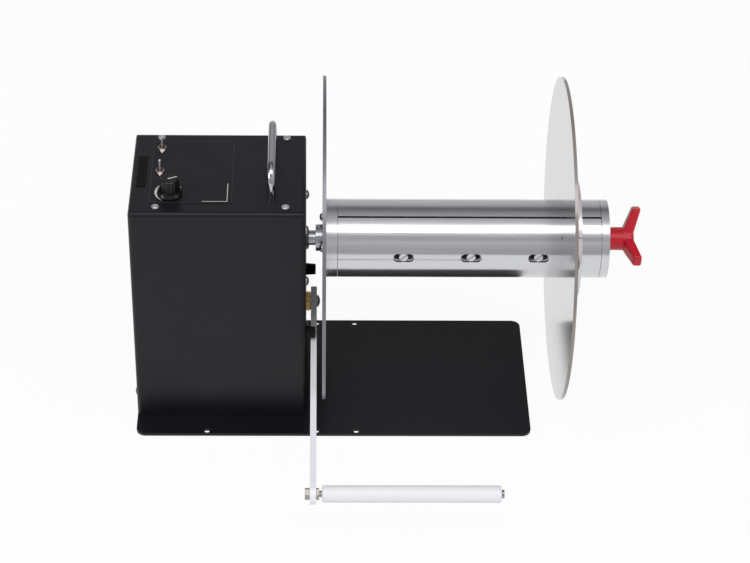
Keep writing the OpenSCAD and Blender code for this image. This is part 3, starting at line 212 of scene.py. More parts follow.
@dataclass(frozen=True)
class Finish:
    """A finish that can be put on any number of pieces.

    Attributes:
        name: Common name of the material and how its surface was made.
        colour: sRGB hex colour.
        roughness: Roughness of the bare surface.
    """

    name: str
    colour: str
    roughness: float

    def material(self) -> bpy.types.Material:
        """Make the finish's material on first use.

        Returns:
            The material.
        """
        found = bpy.data.materials.get(self.name)
        if found is not None:
            return found
        made = bpy.data.materials.new(self.name)
        made.use_nodes = True
        made.diffuse_color = linear(self.colour)
        tree = made.node_tree
        tree.nodes.clear()
        plain = {"Base Color": linear(self.colour), "Roughness": self.roughness}
        shader = add(tree, "ShaderNodeBsdfPrincipled", plain)
        add(tree, "ShaderNodeOutputMaterial", {"Surface": shader.outputs["BSDF"]})
        self.wire(tree, shader)
        return made

    def relief(
        self,
        tree: bpy.types.NodeTree,
        shader: bpy.types.Node,
        height: bpy.types.NodeSocket,
        depth: Pair,
        edge_mm: float,
    ) -> None:
        """Raise a pattern on the surface and soften its edges.

        Args:
            tree: The material's node tree.
            shader: Its surface shader.
            height: The pattern.
            depth: The pattern's strength, and its height in millimetres at full strength.
            edge_mm: Radius of the edges.
        """
        strength, height_mm = depth
        soft = add(tree, "ShaderNodeBevel", {"Radius": edge_mm * MM}).outputs["Normal"]
        raised = {"Strength": strength, "Distance": height_mm * MM, "Height": height, "Normal": soft}
        bump = add(tree, "ShaderNodeBump", raised)
        tree.links.new(bump.outputs["Normal"], shader.inputs["Normal"])

    def gloss(
        self,
        tree: bpy.types.NodeTree,
        shader: bpy.types.Node,
        pattern: bpy.types.NodeSocket,
        drift: float,
    ) -> None:
        """Let the roughness follow a pattern.

        Args:
            tree: The material's node tree.
            shader: Its surface shader.
            pattern: The pattern.
            drift: How far the roughness drifts, as a share of it.
        """
        low, high = NOISE_SPAN
        smooth, rough = self.roughness * (1 - drift), min(1.0, self.roughness * (1 + drift))
        span = {"Value": pattern, "From Min": low, "From Max": high, "To Min": smooth, "To Max": rough}
        spread = add(tree, "ShaderNodeMapRange", span)
        tree.links.new(spread.outputs["Result"], shader.inputs["Roughness"])

    def wire(self, tree: bpy.types.NodeTree, shader: bpy.types.Node) -> None:
        """Add the finish's own pattern to the shader."""
        raise NotImplementedError


@dataclass(frozen=True)
class CoatedFinish(Finish):
    """Paint, powder coat, film or moulded plastic: a dielectric with a fine grain.

    Attributes:
        grain_mm: Size of the surface grain.
        grain_depth: Strength of the grain's bump.
        cloud_mm: Size of the slow patches in which the gloss drifts.
        drift: How far the gloss drifts, as a share of roughness.
        shine: Specular level at normal incidence.
        edge_mm: Radius to which paint or moulding softens an edge.
        glow: Weight of light scattered under the surface.
        tint_drift: How far the grain varies the colour.
    """

    grain_mm: float = 1.6
    grain_depth: float = 0.08
    cloud_mm: float = 40.0
    drift: float = 0.12
    shine: float = 0.5
    edge_mm: float = 0.4
    glow: float = 0.0
    tint_drift: float = 0.1

    def wire(self, tree: bpy.types.NodeTree, shader: bpy.types.Node) -> None:
        """Add grain, slow gloss patches and softened edges.

        Args:
            tree: The material's node tree.
            shader: Its surface shader.
        """
        place = add(tree, "ShaderNodeTexCoord").outputs["Object"]
        fine = {"Vector": place, "Scale": per_metre(self.grain_mm), "Detail": GRAIN_DETAIL}
        slow = {"Vector": place, "Scale": per_metre(self.cloud_mm), "Detail": CLOUD_DETAIL}
        grain = add(tree, "ShaderNodeTexNoise", fine).outputs["Fac"]
        cloud = add(tree, "ShaderNodeTexNoise", slow).outputs["Fac"]
        low, high = tones(self.colour, self.tint_drift)
        mottle = add(tree, "ShaderNodeMix", {0: grain, 6: low, 7: high}, data_type="RGBA")
        tree.links.new(mottle.outputs[2], shader.inputs["Base Color"])
        self.relief(tree, shader, grain, (self.grain_depth, GRAIN_HEIGHT_MM), self.edge_mm)
        self.gloss(tree, shader, cloud, self.drift)
        shader.inputs["Specular IOR Level"].default_value = self.shine
        if self.glow:
            shader.inputs["Subsurface Weight"].default_value = self.glow
            shader.inputs["Subsurface Radius"].default_value = SCATTER_SHARE
            shader.inputs["Subsurface Scale"].default_value = SCATTER_MM * MM


@dataclass(frozen=True)
class MetalFinish(Finish):
    """Bare or plated metal with the marks of the way it was worked.

    Attributes:
        lay: The way the tool marks run.
        line_mm: Spacing of the tool marks or patches.
        line_depth: Strength of the marks' bump.
        drift: How far the marks vary the roughness, as a share of it.
        axis: Y and Z in metres of the axis that turned marks run round.
        edge_mm: Radius to which an edge was broken.
        tint_drift: How far the marks vary the colour.
        metallic: Share of bare metal, less than one under an oxide skin.
    """

    lay: Lay = Lay.NONE
    line_mm: float = 1.2
    line_depth: float = 0.05
    drift: float = 0.3
    axis: Pair = (0.0, 0.0)
    edge_mm: float = 0.3
    tint_drift: float = 0.05
    metallic: float = 1.0

    def flow(self, tree: bpy.types.NodeTree) -> bpy.types.NodeSocket:
        """Stretch the texture's space along the tool marks.

        Args:
            tree: The material's node tree.

        Returns:
            The stretched coordinates, with one tool mark per unit.
        """
        place = add(tree, "ShaderNodeTexCoord").outputs["Object"]
        scale = per_metre(self.line_mm)
        stretch = (scale, scale, scale)
        if self.lay is Lay.ALONG:
            stretch = (scale / DRAWN_LENGTH, scale, scale)
        elif self.lay is Lay.TURNED:
            split = add(tree, "ShaderNodeSeparateXYZ", {"Vector": place})
            centred = {0: place, 1: (0.0, *self.axis)}
            arm = add(tree, "ShaderNodeVectorMath", centred, operation="SUBTRACT")
            flat = {0: arm.outputs[0], 1: (0.0, 1.0, 1.0)}
            cross = add(tree, "ShaderNodeVectorMath", flat, operation="MULTIPLY")
            reach = add(tree, "ShaderNodeVectorMath", {0: cross.outputs[0]}, operation="LENGTH")
            polar = {"X": split.outputs["X"], "Y": reach.outputs["Value"]}
            place = add(tree, "ShaderNodeCombineXYZ", polar).outputs[0]
        return add(tree, "ShaderNodeVectorMath", {0: place, 1: stretch}, operation="MULTIPLY").outputs[0]

    def tone(self, tree: bpy.types.NodeTree, marks: bpy.types.NodeSocket) -> bpy.types.NodeSocket:
        """Return the metal's colour, varied along the tool marks."""
        low, high = tones(self.colour, self.tint_drift)
        return add(tree, "ShaderNodeMix", {0: marks, 6: low, 7: high}, data_type="RGBA").outputs[2]

    def wire(self, tree: bpy.types.NodeTree, shader: bpy.types.Node) -> None:
        """Add tool marks and broken edges.

        Args:
            tree: The material's node tree.
            shader: Its surface shader.
        """
        pattern = {"Vector": self.flow(tree), "Scale": 1.0, "Detail": MARK_DETAIL}
        marks = add(tree, "ShaderNodeTexNoise", pattern).outputs["Fac"]
        tree.links.new(self.tone(tree, marks), shader.inputs["Base Color"])
        self.relief(tree, shader, marks, (self.line_depth, MARK_HEIGHT_MM), self.edge_mm)
        self.gloss(tree, shader, marks, self.drift)
        shader.inputs["Metallic"].default_value = self.metallic


@dataclass(frozen=True)
class DiscFinish(MetalFinish):
    """A disc whose flat faces and rim were worked apart, such as turned faces and a cut rim.

    Attributes:
        rim_colour: sRGB hex colour of the rim.
        rim_metallic: Share of bare metal on the rim.
    """

    rim_colour: str = "#8c8680"
    rim_metallic: float = 1.0

    def facing(self, tree: bpy.types.NodeTree) -> bpy.types.NodeSocket:
        """Tell faces from rim.

        Args:
            tree: The material's node tree.

        Returns:
            One on the disc's flat faces and zero on its rim.
        """
        normal = add(tree, "ShaderNodeNewGeometry").outputs["Normal"]
        across = add(tree, "ShaderNodeSeparateXYZ", {"Vector": normal}).outputs["X"]
        return add(tree, "ShaderNodeMath", {0: across}, operation="ABSOLUTE").outputs["Value"]

    def tone(self, tree: bpy.types.NodeTree, marks: bpy.types.NodeSocket) -> bpy.types.NodeSocket:
        """Vary the faces' colour along the marks and give the rim its own.

        Args:
            tree: The material's node tree.
            marks: The tool marks' pattern.

        Returns:
            The colour.
        """
        face = super().tone(tree, marks)
        blend = {0: self.facing(tree), 6: linear(self.rim_colour), 7: face}
        return add(tree, "ShaderNodeMix", blend, data_type="RGBA").outputs[2]

    def wire(self, tree: bpy.types.NodeTree, shader: bpy.types.Node) -> None:
        """Add the metal's marks and the rim's own share of bare metal.

        Args:
            tree: The material's node tree.
            shader: Its surface shader.
        """
        super().wire(tree, shader)
        if self.rim_metallic != self.metallic:
            ends = {"Value": self.facing(tree), "To Min": self.rim_metallic, "To Max": self.metallic}
            bare = add(tree, "ShaderNodeMapRange", ends)
            tree.links.new(bare.outputs["Result"], shader.inputs["Metallic"])


# Powder-coated steel, baked: dull black with a fine orange peel, drawn coarser than life so it shows
POWDER_COAT = CoatedFinish(
    "powder_coated_steel", "#151419", roughness=0.37, grain_mm=1.5, grain_depth=0.12, shine=0.28,
    edge_mm=0.7,
)
# Polyester film of the control panel, printed black: flat and matte, in the paint's own tone
OVERLAY_FILM = CoatedFinish(
    "printed_polyester_film", "#151419", roughness=0.5, grain_mm=0.9, grain_depth=0.04, shine=0.34,
    edge_mm=0.1,
)
# Polyester film of the bare name plate, printed black: deeper than the paint around it
PLATE_FILM = CoatedFinish(
    "black_polyester_film", "#050506", roughness=0.3, grain_mm=6.0, grain_depth=0.03, shine=0.12,
    edge_mm=0.1,
)
# Screen-printing ink, opaque white: dead matte with a faintly ragged edge to its tone
WHITE_INK = CoatedFinish(
    "screen_printed_white_ink", "#e2e2e0", roughness=0.6, grain_mm=0.5, grain_depth=0.03, shine=0.3,
    edge_mm=0.05,
)
# Screen-printing ink, dark grey: the faint line round the overlay's edge
GREY_INK = replace(WHITE_INK, name="screen_printed_grey_ink", colour="#47474c")
# Glass-filled nylon, moulded: dull black with a faint fibre grain
BLACK_NYLON = CoatedFinish(
    "moulded_black_nylon", "#111113", roughness=0.4, grain_mm=0.8, grain_depth=0.10, shine=0.36
)
# Black phenolic, moulded in a polished tool: blacker than the panel, with small clear highlights
GLOSS_PHENOLIC = CoatedFinish(
    "moulded_black_phenolic", "#070709", roughness=0.22, grain_mm=1.2, grain_depth=0.03, shine=0.4,
    edge_mm=0.5,
)
# Red nylon, moulded: a satin skin with soft highlights on its round edges
RED_NYLON = CoatedFinish(
    "moulded_red_nylon", "#cb1429", roughness=0.32, grain_mm=1.0, grain_depth=0.06, shine=0.45,
    edge_mm=0.2, glow=0.05,
)
# White acetal bar, turned: a clean and even white
WHITE_ACETAL = CoatedFinish(
    "turned_white_acetal", "#f1f1f3", roughness=0.4, grain_mm=0.7, grain_depth=0.04, edge_mm=0.3,
    tint_drift=0.02,
)
# Rubber, moulded: matte black that swallows highlights
MOULDED_RUBBER = CoatedFinish(
    "moulded_rubber", "#101011", roughness=0.75, grain_mm=0.8, grain_depth=0.15, shine=0.25, edge_mm=0.6
)
# Glass-epoxy board under green solder mask: the weave just shows through the lacquer
SOLDER_MASK = CoatedFinish(
    "solder_masked_glass_epoxy", "#1d5c38", roughness=0.32, grain_mm=0.8, grain_depth=0.12
)
# Epoxy and nylon of the board's parts, moulded: dark and even
COMPONENT_EPOXY = CoatedFinish(
    "moulded_component_epoxy", "#2b2b30", roughness=0.5, grain_mm=0.7, grain_depth=0.10
)
# Stoved enamel on the motor can: dark and smooth with a broad sheen
STOVED_ENAMEL = CoatedFinish("stoved_enamel", "#222327", roughness=0.3, grain_mm=2.0, grain_depth=0.05)
# Black zinc plating over steel: nearly black with a metallic sheen
BLACK_ZINC = MetalFinish("black_zinc_plated_steel", "#2a2a2c", roughness=0.4, line_mm=0.8, drift=0.2)
# Bright zinc plating over steel: pale, faintly blue, soft reflections
BRIGHT_ZINC = MetalFinish(
    "bright_zinc_plated_steel", "#d6d8dc", roughness=0.32, line_mm=0.8, drift=0.25, metallic=0.8
)
# Steel fixings, zinc plated and passivated: a warmer, darker grey than the bright screws
PASSIVATED_STEEL = MetalFinish(
    "passivated_zinc_steel", "#a39f97", roughness=0.3, line_mm=0.8, drift=0.25
)
# Galvanised sheet: dull grey with soft patches
GALVANISED = MetalFinish(
    "galvanised_steel_sheet", "#9b9ea2", roughness=0.45, line_mm=6.0, tint_drift=0.12
)
# Chrome over polished rod: mirror bright, with dark edges where it mirrors the panel
CHROME = MetalFinish(
    "chromed_steel_rod", "#b9babd", roughness=0.08, line_mm=2.0, line_depth=0.01, drift=0.2,
    tint_drift=0.01,
)
# Aluminium bar, bead blasted and anodised clear: pale blue-grey, even and soft
ANODISED_BAR = MetalFinish(
    "anodised_aluminium_bar", "#f4f6f8", roughness=0.6, line_mm=0.9, line_depth=0.06, drift=0.12,
    tint_drift=0.03, metallic=0.2,
)
# Die-cast aluminium: grey with a fine pebbled skin
CAST_ALUMINIUM = MetalFinish(
    "die_cast_aluminium", "#a9abae", roughness=0.5, line_mm=1.5, line_depth=0.25, drift=0.25
)
# Aluminium tube, pale and matte, paled further as painted light so the slots between the jaws show grey
PAINTED_LIGHT_TUBE = MetalFinish(
    "aluminium_tube_painted_light", "#eceded", roughness=0.6, line_depth=0.1, drift=0.2, metallic=0.3
)
# Brass, turned: warm yellow with a satin sheen
TURNED_BRASS = MetalFinish("turned_brass", "#c39a5c", roughness=0.3, line_mm=0.7)
# Brass of the switch frames and bushings, tumbled and left bare: brown and dull
DULL_BRASS = MetalFinish("tumbled_brass", "#8a6d48", roughness=0.42, line_mm=0.7)
# Spring strip, blued by heat: dark blue grey
BLUED_STRIP = MetalFinish("blued_spring_strip", "#49525e", roughness=0.35, line_mm=1.0, drift=0.2)


@dataclass(frozen=True)
class Datum:
    """Where the machine's own measuring points lie in the frame, in metres.

    Attributes:
        wall: X of the housing's right wall.
        axis: Y and Z of the spindle.
        plate: Z of the base plate's underside.
    """

    wall: float
    axis: Pair
    plate: float

    @classmethod
    def from_frame(cls) -> Datum:
        """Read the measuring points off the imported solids."""
        _, y, z = middle("end_cap")
        return cls(wall=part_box("housing_shell")[1].x, axis=(y, z), plate=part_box("base_plate")[0].z)

    def at(self, x_mm: float, y_mm: float, z_mm: float) -> Vector:
        """Return the point so far right of the wall, behind the spindle and above the underside."""
        return Vector((self.wall + x_mm * MM, self.axis[0] + y_mm * MM, self.plate + z_mm * MM))


@dataclass
class SubAssembly:
    """A group of solids that are dressed together.

    Attributes:
        datum: The machine's measuring points.
        nodes: The frame's solids by name.
    """

    datum: Datum
    nodes: dict[str, bpy.types.Object]

    def build(self) -> None:
        """Dress the group's solids and add its new pieces."""
        raise NotImplementedError

    def dress(self, finish: Finish, *names: str) -> None:
        """Put a finish on solids.

        Args:
            finish: The finish.
            *names: The solids' names.
        """
        for name in names:
            solid = self.nodes[name]
            solid.data.materials.clear()
            solid.data.materials.append(finish.material())
            LOG.info("%s: %s", name, finish.name)

    def place(self, piece: bpy.types.Object, finish: Finish, body: str, slot: str) -> None:
        """Finish a new piece and let it ride on a body.

        Args:
            piece: The new piece.
            finish: Its finish.
            body: The body that it moves with.
            slot: The record's material slot meant for the piece; not used.
        """
        piece.data.materials.append(finish.material())
        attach(piece, body)
        LOG.info("%s: new piece on %s", piece.name, body)


@dataclass
class Cabinet(SubAssembly):
    """Base plate, housing, feet and the fixings that hold them."""

    def build(self) -> None:
        """Dress the cabinet's solids."""
        self.dress(POWDER_COAT, "base_plate", "housing_shell")
        self.dress(MOULDED_RUBBER, "rubber_feet")
        self.dress(GALVANISED, "base_brackets")
        self.dress(BRIGHT_ZINC, "base_screws")
        self.dress(BLACK_ZINC, "side_screws")
        self.dress(BLACK_NYLON, "power_socket")


@dataclass
class ControlPanel(SubAssembly):
    """Overlay, printed marks, knob, switches, handle and the board below.

    Attributes:
        film_mm: How far printed ink stands above the film.
        scale_centre_mm: Middle of the torque scale's arc, from the knob's axis.
        scale_radius_mm: Mean radius of that arc.
        scale_width_mm: Width of the torque scale at its thickest.
        scale_turn_deg: Where the torque scale starts and ends, from +X towards the back.
        scale_tip: Width of the torque scale's tips, as a share of its thickest part.
        scale_swell: Exponent of the swell between them: more makes the tips longer.
        scale_steps: Number of faces along the torque scale.
        dot_mm: Place of the scale's dot, from the overlay's left edge and middle.
        dot_radius_mm: Radius of that dot.
        dot_sides: Number of its sides.
        arrow_mm: Place of each switch's arrow, from the overlay's left edge and middle.
        arrow_size_mm: Half the arrow's width and half its length.
        rule_corner_mm: Corner of the printed rule, from the overlay's left edge and middle.
        rule_run_mm: Lengths of the rule's two legs.
        rule_mm: Width of the rule.
        border_mm: Width of the line round the overlay.
        border_inset_mm: Distance of that line from the overlay's edge.
        border_corner_mm: Radius of its outer corners.
        border_steps: Number of faces round each corner.
        pointer_mm: Start, end and half width of the knob's pointer line, along its own direction.
        pointer_turn_deg: Angle of the pointer, from +X towards the back.
    """

    film_mm: float = 0.03
    scale_centre_mm: Pair = (6.2, 3.6)
    scale_radius_mm: float = 19.5
    scale_width_mm: float = 2.4
    scale_turn_deg: Pair = (137.0, 227.0)
    scale_tip: float = 0.08
    scale_swell: float = 1.5
    scale_steps: int = 32
    dot_mm: Pair = (29.2, -26.2)
    dot_radius_mm: float = 0.6
    dot_sides: int = 20
    arrow_mm: tuple[Pair, ...] = ((8.7, -4.7), (8.8, 34.3))
    arrow_size_mm: Pair = (2.9, 3.0)
    rule_corner_mm: Pair = (73.6, -49.7)
    rule_run_mm: Pair = (23.3, 29.5)
    rule_mm: float = 0.6
    border_mm: float = 0.35
    border_inset_mm: float = 0.4
    border_corner_mm: float = 2.8
    border_steps: int = 6
    pointer_mm: tuple[float, float, float] = (-1.2, 7.5, 0.6)
    pointer_turn_deg: float = 25.0

    def on_film(self, x_mm: float, y_mm: float) -> Vector:
        """Return a point just above the overlay, so far from its left edge and behind its middle."""
        low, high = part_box("control_overlay")
        return Vector((low.x + x_mm * MM, (low.y + high.y) / 2 + y_mm * MM, high.z + self.film_mm * MM))

    def ink(self, name: str, outline: Sequence[Pair]) -> None:
        """Print a flat white mark on the overlay.

        Args:
            name: The piece's name.
            outline: Corners in millimetres from the overlay's left edge and middle.
        """
        points = [self.on_film(x, y) for x, y in outline]
        made = mesh_object(name, points, [range(len(points))], smooth=False)
        self.place(made, WHITE_INK, "chassis", "overlay_film")

    def border_loop(self, step_mm: float) -> list[Vector]:
        """Trace one edge of the line round the overlay.

        Args:
            step_mm: Distance of the edge inside the line's outer edge.

        Returns:
            Points in metres, from the back right corner towards the left.
        """
        low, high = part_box("control_overlay")
        radius = (self.border_corner_mm - step_mm) * MM
        inset = (self.border_inset_mm + step_mm) * MM + radius
        left, right, front, back = low.x + inset, high.x - inset, low.y + inset, high.y - inset
        height = self.on_film(0, 0).z
        loop: list[Vector] = []
        for quarter, (x, y) in enumerate(((right, back), (left, back), (left, front), (right, front))):
            for k in range(self.border_steps + 1):
                turn = math.pi / 2 * (quarter + k / self.border_steps)
                loop.append(Vector((x + radius * math.cos(turn), y + radius * math.sin(turn), height)))
        return loop

    def print_border(self) -> None:
        """Print the thin line just inside the overlay's edge."""
        outer, inner = self.border_loop(0.0), self.border_loop(self.border_mm)
        made = mesh_object("overlay_border", outer + inner, tube_faces(2, len(outer)), smooth=False)
        self.place(made, GREY_INK, "chassis", "overlay_film")

    def print_scale(self) -> None:
        """Print the torque scale: a crescent beside the knob, thickest in its middle, and a dot."""
        hub = middle("torque_knob") + Vector((*self.scale_centre_mm, 0)) * MM
        hub.z = self.on_film(0, 0).z
        start, end = self.scale_turn_deg
        steps = self.scale_steps
        inner: list[Vector] = []
        outer: list[Vector] = []
        for k in range(steps + 1):
            turn = math.radians(start + (end - start) * k / steps)
            swell = math.sin(math.pi * k / steps) ** self.scale_swell
            half = self.scale_width_mm / 2 * (self.scale_tip + (1 - self.scale_tip) * swell)
            spoke = Vector((math.cos(turn), math.sin(turn), 0)) * MM
            inner.append(hub + spoke * (self.scale_radius_mm - half))
            outer.append(hub + spoke * (self.scale_radius_mm + half))
        faces = [(k, k + 1, steps + k + 2, steps + k + 1) for k in range(steps)]
        made = mesh_object("torque_scale", inner + outer, faces, smooth=False)
        self.place(made, WHITE_INK, "chassis", "overlay_film")
        x, y = self.dot_mm
        radius = self.dot_radius_mm
        turns = [math.tau * k / self.dot_sides for k in range(self.dot_sides)]
        self.ink("scale_dot", [(x + radius * math.cos(t), y + radius * math.sin(t)) for t in turns])

    def print_marks(self) -> None:
        """Print the switch arrows and the corner rule."""
        wide, long = self.arrow_size_mm
        for name, (x, y) in zip(("front_arrow", "rear_arrow"), self.arrow_mm):
            self.ink(name, [(x - wide, y + long), (x, y - long), (x + wide, y + long)])
        x, y = self.rule_corner_mm
        across, back = self.rule_run_mm
        half = self.rule_mm / 2
        left, right, low, high = x - half, x + half, y - half, y + half
        start, end = x - across, y + back
        self.ink("corner_rule_front", [(start, low), (right, low), (right, high), (start, high)])
        self.ink("corner_rule_side", [(left, high), (right, high), (right, end), (left, end)])

    def print_pointer(self) -> None:
        """Print the pointer line on top of the torque knob."""
        centre = middle("torque_knob")
        centre.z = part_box("torque_knob")[1].z + self.film_mm * MM
        turn = Matrix.Rotation(math.radians(self.pointer_turn_deg), 4, "Z")
        near, far, half = self.pointer_mm
        corners = [(near, -half), (far, -half), (far, half), (near, half)]
        points = [centre + turn @ Vector((x * MM, y * MM, 0)) for x, y in corners]
        made = mesh_object("knob_pointer", points, [range(len(points))], smooth=False)
        self.place(made, WHITE_INK, "torque", "knob_plastic")

    def build(self) -> None:
        """Dress the panel's solids and print its marks."""
        self.dress(OVERLAY_FILM, "control_overlay")
        self.dress(PLATE_FILM, "name_plate")
        self.dress(GLOSS_PHENOLIC, "torque_knob")
        self.dress(BRIGHT_ZINC, "panel_screws", "panel_nuts", "handle_screws")
        self.dress(BRIGHT_ZINC, "front_toggle_lever", "rear_toggle_lever")
        self.dress(TURNED_BRASS, "board_standoffs")
        self.dress(DULL_BRASS, "toggle_bodies")
        self.dress(CHROME, "carry_handle")
        self.dress(GALVANISED, "torque_pot")
        self.dress(SOLDER_MASK, "control_board")
        self.dress(COMPONENT_EPOXY, "board_components")
        self.print_scale()
        self.print_marks()
        self.print_border()
        self.print_pointer()


@dataclass
class Drive(SubAssembly):
    """Gearbox, motor, gears and bearings inside the housing."""

    def build(self) -> None:
        """Dress the drive's solids."""
        # Steel, ground between centres: grey with fine rings
        ground = MetalFinish(
            "ground_steel_drive", "#b9bcc0", roughness=0.25, lay=Lay.TURNED, line_mm=0.8,
            axis=self.datum.axis,
        )
        self.dress(CAST_ALUMINIUM, "gearbox_case", "gearbox_cover")
        self.dress(BRIGHT_ZINC, "wall_screws")
        self.dress(BLACK_ZINC, "cover_bolts")
        self.dress(STOVED_ENAMEL, "drive_motor")
        self.dress(ground, "motor_pinion", "bearing_outer_rings", "bearing_inner_rings")
        self.dress(TURNED_BRASS, "drive_gear")


@dataclass
class Mandrel(SubAssembly):
    """Spindle, inner flange, expanding jaws and the parts that work them."""

    def build(self) -> None:
        """Dress the mandrel's solids."""
        axis = self.datum.axis
        # Aluminium tube, polished lengthwise: bright bands with fine drawn lines
        jaw = MetalFinish(
            "polished_aluminium_tube", "#d2d3d5", roughness=0.17, lay=Lay.ALONG, line_mm=1.4,
            line_depth=0.06, drift=0.35, metallic=0.92,
        )
        # Aluminium ring, turned and polished: bright with fine rings
        ring = MetalFinish(
            "polished_aluminium_ring", "#d2d3d5", roughness=0.2, lay=Lay.TURNED, line_mm=1.0,
            line_depth=0.06, drift=0.35, axis=axis, metallic=0.92,
        )
        # Aluminium disc, spun against an abrasive: satin rings, drawn coarser than life so they show
        disc = DiscFinish(
            "spun_aluminium_disc", "#e4e4e6", roughness=0.42, lay=Lay.TURNED, line_mm=1.6,
            line_depth=0.03, drift=0.2, axis=axis, tint_drift=0.02, metallic=0.4, rim_colour="#85838a",
            rim_metallic=0.7,
        )
        # Steel, turned and ground: grey and satin
        steel = MetalFinish(
            "turned_steel_spindle", "#bfc1c4", roughness=0.26, lay=Lay.TURNED, line_mm=0.8, axis=axis
        )
        self.dress(steel, "spindle", "hub_collar")
        self.dress(disc, "inner_flange")
        self.dress(ring, "mandrel_ring", "end_cap")
        self.dress(jaw, "front_jaw", "back_jaw", "under_jaw")
        # Core tube and sleeve carry painted light: their extra paleness lifts the shade in the jaw slots
        self.dress(PAINTED_LIGHT_TUBE, "core_tube", "expander_sleeve")
        self.dress(BRIGHT_ZINC, "hub_screws", "end_cap_screws", "jaw_screws", "draw_screw")
        self.dress(TURNED_BRASS, "draw_nut")


@dataclass
class OuterFlange(SubAssembly):
    """The flange that slides off the mandrel, with its split hub."""

    def build(self) -> None:
        """Dress the flange's solids."""
        axis = self.datum.axis
        # Aluminium disc, polished on a lathe: mirrors the mandrel softly, with a warm grey cut rim
        disc = DiscFinish(
            "polished_aluminium_disc", "#b3b3b5", roughness=0.15, lay=Lay.TURNED, line_mm=1.6,
            line_depth=0.01, drift=0.15, axis=axis, tint_drift=0.01, rim_colour="#979089",
            rim_metallic=0.3,
        )
        # Aluminium hub, turned and bead blasted: pale all round, with the disc's tone on its faces
        hub = replace(disc, name="blasted_aluminium_hub", rim_colour="#e6e6e8", rim_metallic=0.35)
        self.dress(disc, "outer_flange")
        self.dress(hub, "flange_hub")
        self.dress(BLACK_ZINC, "clamp_screw")


